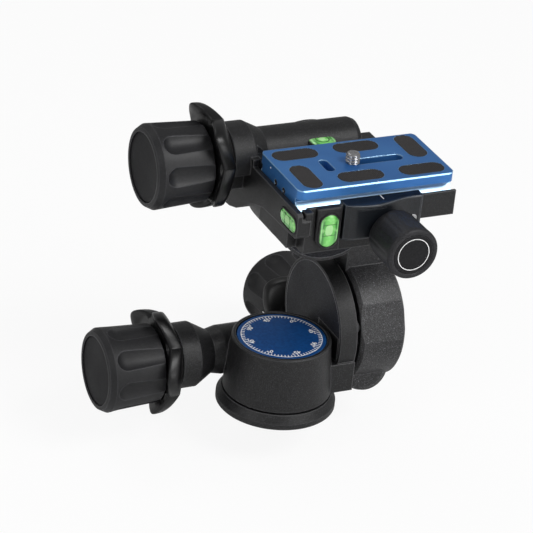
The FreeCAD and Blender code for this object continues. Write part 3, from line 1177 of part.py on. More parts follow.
# ------------------------------------------------------------------ all pieces
def all_pieces():
    side_screws, top_screws = side_screw_places(), top_screw_places()
    top_group = [screw_group(top_screws, Y_AXIS, COVER_SCREW_LENGTH),
                 screw_group(far_jaw_screw_places(), Z_AXIS, FAR_SCREW_LENGTH)]
    pieces = {
        "base_disc": base_disc(),
        "tripod_thread_bush": tripod_thread_bush(),
        "pan_worm_wheel": placed(worm_wheel(SPINDLE_R + FACE_GAP), PAN_FRAME),
        "pan_bearing_ring": pan_bearing(),
        "pan_top_cap": pan_top_cap(),
        "pan_cap_screws": screw_group(cap_screw_places(), Z_AXIS, CAP_SCREW_LENGTH),
        "pan_dial": pan_dial(),
        "pan_housing": pan_housing(),
        "side_axle": tilt_axle(SIDE_CENTRE, SIDE_TOWARD, SIDE_DISC_FACE, SIDE_TAIL),
        "side_axle_nut": axle_nut(SIDE_CENTRE, SIDE_TOWARD, SIDE_NUT),
        "side_worm_wheel": placed(worm_wheel(AXLE_R + FACE_GAP), SIDE_FRAME),
        "side_pivot_cover": side_pivot_cover(),
        "side_housing": side_housing(),
        "side_hub_bush": hub_bush(SIDE_CENTRE, SIDE_TOWARD, SIDE_HOUSING_FACE),
        "side_rear_cover": rear_cover(SIDE_CENTRE, SIDE_TOWARD, SIDE_HOUSING_END, side_screws, SIDE_BOSS),
        "side_cover_screws": screw_group(side_screws, X_AXIS, COVER_SCREW_LENGTH),
        "front_axle": tilt_axle(FRONT_CENTRE, FRONT_TOWARD, FRONT_DISC_FACE, FRONT_TAIL),
        "front_axle_nut": axle_nut(FRONT_CENTRE, FRONT_TOWARD, FRONT_NUT),
        "front_worm_wheel": placed(worm_wheel(AXLE_R + FACE_GAP), FRONT_FRAME),
        "front_pivot_cover": front_pivot_cover(),
        "top_housing": top_housing(),
        "front_hub_bush": hub_bush(FRONT_CENTRE, FRONT_TOWARD, FRONT_HOUSING_FACE),
        "front_rear_cover": rear_cover(FRONT_CENTRE, FRONT_TOWARD, FRONT_HOUSING_END, top_screws, 0),
        "top_housing_screws": Part.makeCompound(top_group),
        "far_jaw": far_jaw(),
        "round_level": round_level(0),
        "front_level": front_level(0),
        "side_level": side_level(0),
        "clamp_jaw": clamp_jaw(),
        "jaw_guide_pins": jaw_guide_pins(),
        "jaw_spring": jaw_spring(),
        "clamp_screw": clamp_screw(),
        "clamp_knob": clamp_knob(),
        "clamp_knob_cap": clamp_knob_cap(),
        "quick_release_plate": quick_release_plate(),
        "plate_pads": plate_pads(),
        "plate_safety_screws": safety_screws(),
        "camera_screw_washer": camera_screw_washer(),
        "camera_screw": camera_screw(),
    }
    pieces.update(drive_pieces("pan", PAN_FRAME, PAN_REACH, PAN_LOBE_ANGLE, PAN_FLUTE_ANGLE))
    pieces.update(drive_pieces("side", SIDE_FRAME, SIDE_REACH, SIDE_LOBE_ANGLE, SIDE_FLUTE_ANGLE))
    pieces.update(drive_pieces("front", FRONT_FRAME, FRONT_REACH, FRONT_LOBE_ANGLE, FRONT_FLUTE_ANGLE))
    return pieces


os.makedirs(PARTS_DIR, exist_ok=True)
for node, shape in all_pieces().items():
    shape.exportStep(os.path.join(PARTS_DIR, node + ".step"))
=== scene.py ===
"""Dressed model of a geared three-way pan and tilt head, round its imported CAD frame."""
import json
import math

import bmesh
import bpy
from mathutils import Matrix, Vector


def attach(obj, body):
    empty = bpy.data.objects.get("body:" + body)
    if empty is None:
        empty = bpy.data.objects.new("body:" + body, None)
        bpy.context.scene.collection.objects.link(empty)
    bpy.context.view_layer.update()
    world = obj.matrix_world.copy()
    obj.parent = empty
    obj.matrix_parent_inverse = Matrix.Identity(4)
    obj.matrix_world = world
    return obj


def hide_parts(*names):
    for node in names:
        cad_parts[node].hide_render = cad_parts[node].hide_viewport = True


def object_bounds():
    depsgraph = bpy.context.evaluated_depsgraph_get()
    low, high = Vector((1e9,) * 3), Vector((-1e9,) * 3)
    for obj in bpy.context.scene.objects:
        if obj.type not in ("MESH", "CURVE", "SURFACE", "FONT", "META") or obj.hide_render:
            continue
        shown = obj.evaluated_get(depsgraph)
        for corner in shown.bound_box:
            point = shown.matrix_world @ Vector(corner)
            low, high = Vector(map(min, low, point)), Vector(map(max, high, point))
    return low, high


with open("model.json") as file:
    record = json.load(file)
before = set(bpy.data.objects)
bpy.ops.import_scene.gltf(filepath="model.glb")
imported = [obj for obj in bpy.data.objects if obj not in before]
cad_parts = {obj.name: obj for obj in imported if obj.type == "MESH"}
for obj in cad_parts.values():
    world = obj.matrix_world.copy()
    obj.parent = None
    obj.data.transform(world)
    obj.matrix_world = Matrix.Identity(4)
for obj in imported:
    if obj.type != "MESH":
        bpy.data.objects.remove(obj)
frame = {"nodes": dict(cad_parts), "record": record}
CAD_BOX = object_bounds()
NODES = frame["nodes"]
MM = 0.001
UP = (0, 0, 1)

# ------------------------------------------------------------------ places on the head, in millimetres
PLATE_CENTRE = (24.0, -4.0)         # x and y
PLATE_TOP = 110.8
CLAMP_AXIS = (29.0, 90.7)           # x and z of the clamp knob's axis
CAMERA_SCREW = (21.5, -4.0)         # x and y
FRONT_VIAL = (2.1, 93.4)            # x and z
SIDE_VIAL = (-20.5, 97.3)           # y and z
ROUND_LEVEL = (20.5, 21.7)          # x and y

# ------------------------------------------------------------------ camera of the photograph's view
CAMERA_AZIMUTH = -0.47997
CAMERA_ELEVATION = 0.49152
CAMERA_ROLL = 0.10368
CAMERA_PLACE = (-0.47591, -0.89407, 0.60473)
SENSOR_WIDTH = 36.0
IMAGE_WIDTH = 533
FOCAL_PIXELS = 2795.07


def make_camera():
    """Camera at the photograph's angle, with its slight roll."""
    az, el, roll = CAMERA_AZIMUTH, CAMERA_ELEVATION, CAMERA_ROLL
    right = Vector((math.cos(az), math.sin(az), 0.0))
    forward = Vector((-math.sin(az) * math.cos(el), math.cos(az) * math.cos(el), -math.sin(el)))
    up = right.cross(forward)
    turned_right = right * math.cos(-roll) - up * math.sin(-roll)
    turned_up = right * math.sin(-roll) + up * math.cos(-roll)
    data = bpy.data.cameras.new("camera")
    data.lens = FOCAL_PIXELS / IMAGE_WIDTH * SENSOR_WIDTH
    data.sensor_width = SENSOR_WIDTH
    data.clip_start = 0.01
    camera = bpy.data.objects.new("camera", data)
    bpy.context.scene.collection.objects.link(camera)
    axes = Matrix((turned_right, turned_up, -forward)).transposed().to_4x4()
    camera.matrix_world = Matrix.Translation(CAMERA_PLACE) @ axes
    bpy.context.scene.camera = camera


# ------------------------------------------------------------------ node helpers
def srgb(red, green, blue):
    """Linear colour, with alpha, of an 8-bit screen colour."""
    def linear(value):
        value /= 255
        return value / 12.92 if value <= 0.04045 else ((value + 0.055) / 1.055) ** 2.4
    return (linear(red), linear(green), linear(blue), 1.0)


def new_material(name):
    """Material with its node tree and its shader."""
    material = bpy.data.materials.new(name)
    material.use_nodes = True
    tree = material.node_tree
    return material, tree, tree.nodes["Principled BSDF"]


def place_of(tree, stretch=(1.0, 1.0, 1.0)):
    """Socket with the surface's place in its own piece."""
    coordinates = tree.nodes.new("ShaderNodeTexCoord")
    mapping = tree.nodes.new("ShaderNodeMapping")
    mapping.inputs["Scale"].default_value = stretch
    tree.links.new(coordinates.outputs["Object"], mapping.inputs["Vector"])
    return mapping.outputs["Vector"]


def noise(tree, place, size_mm, detail=2.0):
    """Noise of a grain size in millimetres."""
    texture = tree.nodes.new("ShaderNodeTexNoise")
    texture.inputs["Scale"].default_value = 1000.0 / size_mm
    texture.inputs["Detail"].default_value = detail
    tree.links.new(place, texture.inputs["Vector"])
    return texture.outputs[0]


def ramp(tree, value, stops):
    """Colour ramp; stops are (position, colour)."""
    made = tree.nodes.new("ShaderNodeValToRGB")
    elements = made.color_ramp.elements
    elements[0].position, elements[0].color = stops[0]
    elements[1].position, elements[1].color = stops[-1]
    for position, colour in stops[1:-1]:
        elements.new(position).color = colour
    tree.links.new(value, made.inputs[0])
    return made.outputs[0]


def levels(tree, value, low, high, start=0.0, stop=1.0):
    """Value between low and high, as the input goes from start to stop."""
    made = tree.nodes.new("ShaderNodeMapRange")
    for name, number in (("From Min", start), ("From Max", stop), ("To Min", low), ("To Max", high)):
        made.inputs[name].default_value = number
    tree.links.new(value, made.inputs["Value"])
    return made.outputs["Result"]


def mixed(tree, factor, first, second):
    """Mix of two colours; each is a socket or a colour."""
    made = tree.nodes.new("ShaderNodeMix")
    made.data_type = "RGBA"
    tree.links.new(factor, made.inputs[0])
    for socket, value in ((made.inputs[6], first), (made.inputs[7], second)):
        if isinstance(value, tuple):
            socket.default_value = value
        else:
            tree.links.new(value, socket)
    return made.outputs[2]


def bump(tree, height, depth_mm, normal=None):
    """Normal of a fine relief, over the given normal if there is one."""
    made = tree.nodes.new("ShaderNodeBump")
    made.inputs["Strength"].default_value = 1.0
    made.inputs["Distance"].default_value = depth_mm * MM
    tree.links.new(height, made.inputs["Height"])
    if normal is not None:
        tree.links.new(normal, made.inputs["Normal"])
    return made.outputs["Normal"]


def maths(tree, operation, first, second=None):
    """Result of a Math node; an input is a socket or a number."""
    made = tree.nodes.new("ShaderNodeMath")
    made.operation = operation
    for socket, value in zip(made.inputs, (first, second)):
        if isinstance(value, float):
            socket.default_value = value
        elif value is not None:
            tree.links.new(value, socket)
    return made.outputs[0]


EDGE_HIGHLIGHT_RANGE = (0.84, 0.985)           # how far a rounded normal leans from the face's own, over which the painted edge highlight fades in


def rounded(tree, radius_mm):
    """Normal of softly rounded edges, and a mask that is 1 on such an edge, where a highlight is painted."""
    soft = tree.nodes.new("ShaderNodeBevel")
    soft.samples = 4
    soft.inputs["Radius"].default_value = radius_mm * MM
    geometry = tree.nodes.new("ShaderNodeNewGeometry")
    dot = tree.nodes.new("ShaderNodeVectorMath")
    dot.operation = "DOT_PRODUCT"
    tree.links.new(soft.outputs["Normal"], dot.inputs[0])
    tree.links.new(geometry.outputs["Normal"], dot.inputs[1])
    return soft.outputs["Normal"], levels(tree, dot.outputs["Value"], 1.0, 0.0, *EDGE_HIGHLIGHT_RANGE)


CLOUD_SIZE = 26.0                   # patches of wear over the finish, in millimetres
HANDLED_SHADE = 0.8
FLECK_SIZE = 0.62                   # against the grain's size


def coated(name, dark, light, size_mm, depth_mm, roughness, edge, edge_mm, metallic=0.0,
           fleck=None, stretch=(1.0, 1.0, 1.0), specular=0.5):
    """Grained finish: mottled colour, a fine bump, a painted highlight in the colour edge on rounded edges,
    and optional bright flecks.
    """
    material, tree, shader = new_material(name)
    place = place_of(tree, stretch)
    grain = noise(tree, place, size_mm)
    cloud = noise(tree, place, CLOUD_SIZE, 3.0)
    colour = ramp(tree, grain, [(0.36, dark), (0.66, light)])
    handled = tuple(value * HANDLED_SHADE for value in dark[:3]) + (1.0,)
    colour = mixed(tree, levels(tree, cloud, 0.0, 0.45, 0.4, 0.75), colour, handled)
    if fleck is not None:
        spots = noise(tree, place, size_mm * FLECK_SIZE, 0.0)
        colour = mixed(tree, levels(tree, spots, 0.0, 1.0, 0.66, 0.74), colour, fleck)
    normal, highlight_mask = rounded(tree, edge_mm)
    # painted highlight: rounded edges are coloured lighter, as where they catch the light
    colour = mixed(tree, levels(tree, highlight_mask, 0.0, 0.85), colour, edge)
    worn = levels(tree, cloud, roughness - 0.05, roughness + 0.06, 0.3, 0.7)
    tree.links.new(colour, shader.inputs["Base Color"])
    tree.links.new(worn, shader.inputs["Roughness"])
    tree.links.new(bump(tree, grain, depth_mm, normal), shader.inputs["Normal"])
    shader.inputs["Metallic"].default_value = metallic
    shader.inputs["Specular IOR Level"].default_value = specular
    return material


def band(tree, value, low, high, soft=0.04):
    """1 where the value, in millimetres, is between low and high, else 0."""
    rise = levels(tree, value, 0.0, 1.0, (low - soft) * MM, low * MM)
    fall = levels(tree, value, 1.0, 0.0, high * MM, (high + soft) * MM)
    return maths(tree, "MULTIPLY", rise, fall)


def split(tree, place):
    """Sockets of a place's x, y and z."""
    parts = tree.nodes.new("ShaderNodeSeparateXYZ")
    tree.links.new(place, parts.inputs[0])
    return parts.outputs


BEVEL_HEIGHTS = (101.45, 104.7)     # the dovetail's bevels, over z
BEVEL_REACH = (15.75, 18.95)        # and to each side of the plate's middle
CHAMFER_HEIGHTS = (110.34, 110.74)


def plate_metal():
    """Blue anodised aluminium, brushed, with painted highlights on its chamfers, its dovetail's bevels and
    its rounded edges.
    """
    material, tree, shader = new_material("plate_blue")
    place = place_of(tree)
    brushed = noise(tree, place_of(tree, (0.05, 1.0, 1.0)), 0.3, 3.0)
    cloud = noise(tree, place, 30.0, 2.0)
    colour = ramp(tree, cloud, [(0.35, srgb(40, 100, 172)), (0.7, srgb(62, 124, 192))])
    colour = mixed(tree, levels(tree, brushed, 0.0, 0.3), colour, srgb(96, 152, 208))
    parts = split(tree, place)
    reach = maths(tree, "ABSOLUTE", maths(tree, "SUBTRACT", parts[1], PLATE_CENTRE[1] * MM))
    # painted highlight: the dovetail's bevels and the top chamfers are coloured pale, as where they catch the
    # light
    bevel = maths(tree, "MULTIPLY", band(tree, parts[2], *BEVEL_HEIGHTS), band(tree, reach, *BEVEL_REACH))
    colour = mixed(tree, bevel, colour, srgb(178, 212, 238))
    colour = mixed(tree, band(tree, parts[2], *CHAMFER_HEIGHTS), colour, srgb(150, 196, 232))
    # painted highlight on the plate's rounded edges
    normal, highlight_mask = rounded(tree, 0.5)
    colour = mixed(tree, levels(tree, highlight_mask, 0.0, 0.9), colour, srgb(176, 214, 240))
    tree.links.new(colour, shader.inputs["Base Color"])
    tree.links.new(levels(tree, brushed, 0.3, 0.42), shader.inputs["Roughness"])
    tree.links.new(bump(tree, brushed, 0.003, normal), shader.inputs["Normal"])
    shader.inputs["Metallic"].default_value = 0.6
    return material


def vial_glass(name, axis, middle, radius):
    """Green vial with painted light: lighter in the middle, painted shade towards its sides, which lie to
    each side of the middle on one axis, a painted highlight band near them, and a faint glow.
    """
    material, tree, shader = new_material(name)
    place = place_of(tree)
    streak = noise(tree, place, 2.2, 1.0)
    reach = maths(tree, "ABSOLUTE", maths(tree, "SUBTRACT", split(tree, place)[axis], middle * MM))
    across = levels(tree, reach, 0.0, 1.0, 0.0, radius * MM)
    # painted shade and highlight across the vial: light middle, darker flanks, a pale band near the sides
    body = ramp(tree, across, [(0.0, srgb(118, 204, 100)), (0.45, srgb(98, 184, 84)),
                               (0.7, srgb(48, 118, 48)), (0.86, srgb(150, 220, 140)),
                               (1.0, srgb(70, 110, 70))])
    colour = mixed(tree, levels(tree, streak, 0.0, 0.5, 0.5, 0.8), body, srgb(186, 244, 164))
    tree.links.new(colour, shader.inputs["Base Color"])
    # painted glow: the vial's colour is also emitted faintly
    tree.links.new(colour, shader.inputs["Emission Color"])
    tree.links.new(levels(tree, streak, 0.05, 0.12), shader.inputs["Roughness"])
    shader.inputs["Emission Strength"].default_value = 0.1
    shader.inputs["Coat Weight"].default_value = 0.5
    return material


FADED_SHADE = 0.92


def printed(name, colour):
    """Printed mark with slightly uneven ink."""
    material, tree, shader = new_material(name)
    ink = noise(tree, place_of(tree), 0.5, 2.0)
    faded = tuple(value * FADED_SHADE for value in colour[:3]) + (1.0,)
    tree.links.new(ramp(tree, ink, [(0.35, faded), (0.6, colour)]), shader.inputs["Base Color"])
    tree.links.new(levels(tree, ink, 0.45, 0.6), shader.inputs["Roughness"])
    return material


# Each coated finish: name, dark and light grain colours, grain size, bump depth, roughness, then the colour
# of the painted highlight on its rounded edges and that rounding's radius; optional metallic, bright flecks,
# grain stretch and specular level follow.
MATERIALS = {
    "housing_black": coated("housing_black", srgb(5, 5, 6), srgb(32, 32, 33), 0.4, 0.1, 0.46,
                            srgb(100, 100, 102), 0.8, fleck=srgb(62, 62, 65), specular=0.36),
    # side housing's copy of the housing finish: a coarser grain, with a lighter colour as painted light and
    # brighter flecks as painted glints
    "housing_coarse_lit": coated("housing_coarse_lit", srgb(8, 8, 9), srgb(44, 44, 46), 0.44, 0.13, 0.42,
                              srgb(104, 104, 106), 0.8, fleck=srgb(108, 108, 112), specular=0.45),
    "ring_black": coated("ring_black", srgb(6, 6, 7), srgb(14, 14, 15), 0.8, 0.006, 0.34,
                         srgb(90, 90, 92), 0.5, specular=0.36),
    # the pivot covers carry the brightest painted edge highlight, on their discs' rims
    "cover_black": coated("cover_black", srgb(14, 15, 18), srgb(36, 37, 43), 0.42, 0.06, 0.48,
                          srgb(180, 180, 184), 0.6, fleck=srgb(80, 81, 88), specular=0.2),
    "knob_rubber": coated("knob_rubber", srgb(22, 22, 24), srgb(31, 31, 33), 0.7, 0.006, 0.5,
                          srgb(84, 84, 88), 0.8, specular=0.34),
    "cap_black": coated("cap_black", srgb(22, 22, 24), srgb(31, 31, 33), 0.7, 0.006, 0.58,
                        srgb(70, 70, 73), 0.5, specular=0.16),
    "clamp_black": coated("clamp_black", srgb(18, 18, 20), srgb(40, 40, 44), 0.4, 0.05, 0.5,
                          srgb(92, 92, 96), 0.6, specular=0.34),
    "jaw_dark": coated("jaw_dark", srgb(8, 10, 13), srgb(25, 30, 37), 0.45, 0.05, 0.38,
                       srgb(124, 129, 136), 0.7, specular=0.42),
    "dial_blue": coated("dial_blue", srgb(14, 66, 126), srgb(20, 78, 142), 1.2, 0.003, 0.45,
                        srgb(70, 130, 190), 0.3, specular=0.2),
    "pad_rubber": coated("pad_rubber", srgb(38, 37, 38), srgb(56, 54, 54), 0.35, 0.02, 0.75,
                         srgb(70, 68, 68), 0.3, specular=0.25),
    "steel": coated("steel", srgb(150, 150, 152), srgb(206, 206, 208), 0.5, 0.004, 0.26,
                    srgb(236, 236, 238), 0.2, metallic=1.0, stretch=(1.0, 1.0, 6.0)),
    "bright_sleeve": coated("bright_sleeve", srgb(196, 194, 190), srgb(224, 222, 218), 0.4, 0.004,
                            0.24, srgb(240, 240, 240), 0.3, metallic=1.0, stretch=(6.0, 1.0, 1.0)),
    "bearing": coated("bearing", srgb(206, 203, 194), srgb(222, 219, 210), 1.0, 0.01, 0.5,
                      srgb(232, 230, 222), 0.3),
    "brass": coated("brass", srgb(190, 150, 78), srgb(214, 176, 100), 0.8, 0.005, 0.3,
                    srgb(232, 204, 140), 0.2, metallic=1.0),
    "plate_blue": plate_metal(),
    "vial_green": vial_glass("vial_green", 0, FRONT_VIAL[0], 4.2),
    "vial_side": vial_glass("vial_side", 2, SIDE_VIAL[1], 3.1),
    "vial_round": vial_glass("vial_round", 0, ROUND_LEVEL[0], 5.6),
    "print_white": printed("print_white", srgb(252, 252, 252)),
    "vial_line": printed("vial_line", srgb(30, 66, 30)),
    "vial_bubble": printed("vial_bubble", srgb(172, 226, 156)),
}
# the side housing takes the lit copy of the housing finish
COARSE_LIT_NODES = ("side_housing",)
COVER_NODES = ("side_pivot_cover", "front_pivot_cover")


def dress_nodes():
    """Gives each CAD node the material of its slot, or a finish of its own."""
    slot_of = {entry["node"]: entry["material_slot"] for entry in frame["record"]["subparts"]}
    for name, node in NODES.items():
        material = slot_of[name]
        if name in COARSE_LIT_NODES:
            material = "housing_coarse_lit"
        if name in COVER_NODES:
            material = "cover_black"
        if name.endswith("_screws") and "safety" not in name:
            material = "ring_black"
        node.data.materials.clear()
        node.data.materials.append(MATERIALS[material])


# ------------------------------------------------------------------ mesh helpers
def piece(name, verts, faces, body, slot, material, smooth=False):
    """New piece from points in millimetres; it rides on a body."""
    mesh = bpy.data.meshes.new(name)
    mesh.from_pydata([tuple(value * MM for value in point) for point in verts], [], faces)
    built = bmesh.new()
    built.from_mesh(mesh)
    bmesh.ops.recalc_face_normals(built, faces=built.faces)
    built.to_mesh(mesh)
    built.free()
    mesh.materials.append(MATERIALS[material])
    mesh.polygons.foreach_set("use_smooth", [smooth] * len(mesh.polygons))
    made = bpy.data.objects.new(name, mesh)
    bpy.context.scene.collection.objects.link(made)
    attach(made, body)
    return made


def bevelled(made, width_mm):
    """Rounds a piece's sharp edges."""
    modifier = made.modifiers.new("bevel", "BEVEL")
    modifier.width = width_mm * MM
    modifier.segments = 3
    modifier.limit_method = "ANGLE"
    modifier.angle_limit = math.radians(30.0)
    modifier.harden_normals = True


def frame_of(along):
    """Two directions square to an axis."""
    along = Vector(along).normalized()
    first = Vector((0, 0, 1)) if abs(along.z) < 0.9 else Vector((1, 0, 0))
    side = along.cross(first).normalized()
    return along, side, along.cross(side)


def lathe(profile, centre, axis, segments=64, closed=False):
    """Points and faces of (reach, radius) pairs turned round an axis; a zero radius closes an end."""
    along, side, other = frame_of(axis)
    centre = Vector(centre)
    verts, rows = [], []
    for reach, radius in profile:
        if radius < 1e-6:
            rows.append([len(verts)] * segments)
            verts.append(centre + along * reach)
            continue
        rows.append(list(range(len(verts), len(verts) + segments)))
        for step in range(segments):
            turn = 2 * math.pi * step / segments
            out = side * (radius * math.cos(turn)) + other * (radius * math.sin(turn))
            verts.append(centre + along * reach + out)
    faces = []
    pairs = list(zip(rows, rows[1:])) + ([(rows[-1], rows[0])] if closed else [])
    for low, high in pairs:
        for step in range(segments):
            after = (step + 1) % segments
            corners = [low[step], low[after], high[after], high[step]]
            face = [v for index, v in enumerate(corners) if v not in corners[:index]]
            if len(face) > 2:
                faces.append(face)
    return verts, faces


def prism(outline, direction, depth):
    """Closed outline of 3-D points pushed along a direction."""
    count = len(outline)
    push = Vector(direction).normalized() * depth
    verts = [Vector(p) for p in outline] + [Vector(p) + push for p in outline]
    faces = [list(range(count)), list(range(2 * count - 1, count - 1, -1))]
    for step in range(count):
        after = (step + 1) % count
        faces.append([step, after, count + after, count + step])
    return verts, faces


def bar_on_top(x0, x1, y0, y1, z, depth):
    """Rectangle on a level face, pushed upwards."""
    return prism([(x0, y0, z), (x1, y0, z), (x1, y1, z), (x0, y1, z)], UP, depth)


def joined(parts):
    """Points and faces of several parts in one."""
    verts, faces = [], []
    for more_verts, more_faces in parts:
        start = len(verts)
        verts += more_verts
        faces += [[index + start for index in face] for face in more_faces]
    return verts, faces


def stadium(centre, along, across, half, radius, steps=10):
    """Outline of a slot shape."""
    centre, along, across = Vector(centre), Vector(along).normalized(), Vector(across).normalized()
    points = []
    for end in (1, -1):
        for step in range(steps + 1):
            turn = math.pi * (step / steps - 0.5) + (0 if end == 1 else math.pi)
            reach = half * end + radius * math.cos(turn)
            points.append(centre + along * reach + across * (radius * math.sin(turn)))
    return points


def loft(rings):
    """Skin over closed rings of equal length, with both ends capped."""
    count = len(rings[0])
    verts = [point for ring in rings for point in ring]
    faces = [list(range(count)), list(range(len(verts) - 1, len(verts) - count - 1, -1))]
    for row in range(len(rings) - 1):
        for step in range(count):
            after = (step + 1) % count
            low, high = row * count, (row + 1) * count
            faces.append([low + step, low + after, high + after, high + step])
    return verts, faces


# ------------------------------------------------------------------ dial and index marks
DIAL_TOP = 30.5
PRINT_T = 0.06
DIAL_RING = (16.85, 17.15)
DIAL_TICKS = 72
TICK_HALF_WIDTH = 0.19
TICK_LENGTH = 1.3
LONG_TICK_LENGTH = 1.7
LONG_TICK_EVERY = 9
TICK_INTO_RING = 0.02
DIAL_NUMERALS = ("45", "0", "45", "90", "45", "0", "45", "90")
NUMERAL_RADIUS = 13.9
NUMERAL_SIZE = 3.0
NUMERAL_BOLDER = 0.06
RIM_TOP = 30.9


def numeral(text, turn):
    """Mesh of a printed number on the dial, its top outwards."""
    curve = bpy.data.curves.new("numeral", "FONT")
    curve.body = text
    curve.size = NUMERAL_SIZE * MM
    curve.align_x = "CENTER"
    curve.align_y = "CENTER"
    curve.extrude = PRINT_T / 2 * MM
    curve.offset = NUMERAL_BOLDER * MM
    curve.resolution_u = 3
    holder = bpy.data.objects.new("numeral", curve)
    bpy.context.scene.collection.objects.link(holder)
    bpy.context.view_layer.update()
    shown = holder.evaluated_get(bpy.context.evaluated_depsgraph_get())
    mesh = bpy.data.meshes.new_from_object(shown)
    x, y = NUMERAL_RADIUS * math.cos(turn), NUMERAL_RADIUS * math.sin(turn)
    centre = Vector((x, y, DIAL_TOP + PRINT_T / 2)) * MM
    mesh.transform(Matrix.Translation(centre) @ Matrix.Rotation(turn - math.pi / 2, 4, "Z"))
    verts = [vertex.co / MM for vertex in mesh.vertices]
    faces = [list(polygon.vertices) for polygon in mesh.polygons]
    bpy.data.objects.remove(holder)
    bpy.data.curves.remove(curve)
    bpy.data.meshes.remove(mesh)
    return verts, faces


def dial_marks():
    """Printed ring, degree marks and numbers of the dial."""
    inner, outer = DIAL_RING
    low, high = DIAL_TOP, DIAL_TOP + PRINT_T
    profile = [(low, inner), (high, inner), (high, outer), (low, outer)]
    parts = [lathe(profile, (0, 0, 0), UP, 120, closed=True)]
    base = Vector((0, 0, low))
    for tick in range(DIAL_TICKS):
        turn = 2 * math.pi * tick / DIAL_TICKS
        reach = TICK_LENGTH if tick % LONG_TICK_EVERY else LONG_TICK_LENGTH
        out = Vector((math.cos(turn), math.sin(turn), 0))
        across = Vector((-out.y, out.x, 0)) * TICK_HALF_WIDTH
        start, end = out * (inner + TICK_INTO_RING) + base, out * (inner - reach) + base
        parts.append(prism([start - across, start + across, end + across, end - across], UP, PRINT_T))
    for index, text in enumerate(DIAL_NUMERALS):
        parts.append(numeral(text + "°", 2 * math.pi * index / len(DIAL_NUMERALS)))
    piece("dial_marks", *joined(parts), "base", "dial_blue", "print_white")


def index_mark():
    """White line on the pan housing's rim, over the dial's edge."""
    mark = bar_on_top(0.35, 0.85, 19.5, 20.6, RIM_TOP, 0.05)
    piece("pan_index_mark", *mark, "pan_body", "housing_black", "print_white")


# ------------------------------------------------------------------ levels
BLOCK_BACK, BLOCK_FACE = -24.0, -26.2
BLOCK_TOP = 103.5
BLOCK_ROWS = ((BLOCK_BACK, 0.0), (BLOCK_FACE + 0.5, 0.0), (BLOCK_FACE, 0.5))
RIB_ROWS = ((BLOCK_BACK, 0.0), (-27.5, 0.0), (-28.0, 0.5))
FRONT_VIAL_HALF = 3.1               # half the straight part of each vial's outline
SIDE_VIAL_HALF = 4.0
FRONT_VIAL_ROWS = ((-21.0, 4.1), (-26.1, 4.1), (-26.5, 3.95), (-26.8, 3.4), (-26.95, 2.2))
SIDE_VIAL_ROWS = ((-9.6, 3.1), (-13.4, 3.1), (-13.8, 2.9), (-14.0, 2.4), (-14.12, 1.4))
FRONT_RIM_ROWS = ((-26.0, 4.8), (-26.5, 4.8), (-26.75, 4.6), (-26.75, 4.3), (-26.5, 4.1), (-26.0, 4.1))
SIDE_RIM_ROWS = ((-13.4, 3.9), (-13.7, 3.9), (-13.95, 3.7), (-13.95, 3.3), (-13.7, 3.1), (-13.4, 3.1))
FRONT_BUBBLE_ROWS = ((-26.7, 1.0), (-26.97, 0.86), (-27.02, 0.5))
SIDE_BUBBLE_ROWS = ((-13.95, 1.0), (-14.2, 0.8), (-14.27, 0.4))
VIAL_STEPS = 14                     # points round each end of a vial
BUBBLE_STEPS = 10


def level_block():
    """Shield-shaped face of the block that holds the front vial, and the rib beside it."""
    rows = []
    for y, inset in BLOCK_ROWS:
        rows.append([Vector((x, y, z)) for x, z in (
            (-3.7 + inset, BLOCK_TOP - inset), (-3.3 + inset, 89.2), (-2.2 + inset, 87.4 + inset * 0.5),
            (0.2 + inset * 0.4, 85.4 + inset), (4.9 - inset * 0.4, 85.2 + inset),
            (6.5 - inset, 86.8 + inset * 0.5), (7.1 - inset, 88.6), (7.1 - inset, BLOCK_TOP - inset))])
    made = piece("front_level_block", *loft(rows), "top_body", "housing_black", "housing_black")
    bevelled(made, 0.35)
    rib = []
    for y, inset in RIB_ROWS:
        rib.append([Vector((x, y, z)) for x, z in (
            (-9.9 + inset, 103.4 - inset), (-9.9 + inset, 94.6 + inset), (-6.3 - inset, 92.8 + inset),
            (-6.3 - inset, 103.4 - inset))])
    made = piece("clamp_corner_rib", *loft(rib), "top_body", "housing_black", "housing_black")
    bevelled(made, 0.4)


def front_outline(y, radius, half=FRONT_VIAL_HALF, steps=VIAL_STEPS, aside=0.0, above=0.0):
    """Upright slot outline round the front vial's middle, at a depth."""
    x, z = FRONT_VIAL
    return stadium((x + aside, y, z + above), UP, (1, 0, 0), half, radius, steps)


def side_outline(x, radius, half=SIDE_VIAL_HALF, steps=VIAL_STEPS, above=0.0):
    """Slot outline round the side vial's middle, along the wall, at a depth."""
    y, z = SIDE_VIAL
    return stadium((x, y, z + above), (0, 1, 0), UP, half, radius, steps)


def front_level_vial():
    """Upright vial: a domed green capsule with two rings and a bubble."""
    rows = [front_outline(y, radius) for y, radius in FRONT_VIAL_ROWS]
    made = piece("front_level_vial", *loft(rows), "top_body", "vial_green", "vial_green", smooth=True)
    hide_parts("front_level")
    left, right, y, half_width = -0.9, 5.1, -26.8, 0.11
    lines = []
    for z in (91.6, 96.4):
        lines.append(prism([(left, y, z - half_width), (right, y, z - half_width), (right, y, z + half_width),
                            (left, y, z + half_width)], (0, -1, 0), 0.18))
    piece("front_level_lines", *joined(lines), "top_body", "vial_green", "vial_line")
    bubble = [front_outline(y, 1.9 * scale, 0.9 * scale, BUBBLE_STEPS, -0.3, 0.6)
              for y, scale in FRONT_BUBBLE_ROWS]
    piece("front_level_bubble", *loft(bubble), "top_body", "vial_green", "vial_bubble", smooth=True)


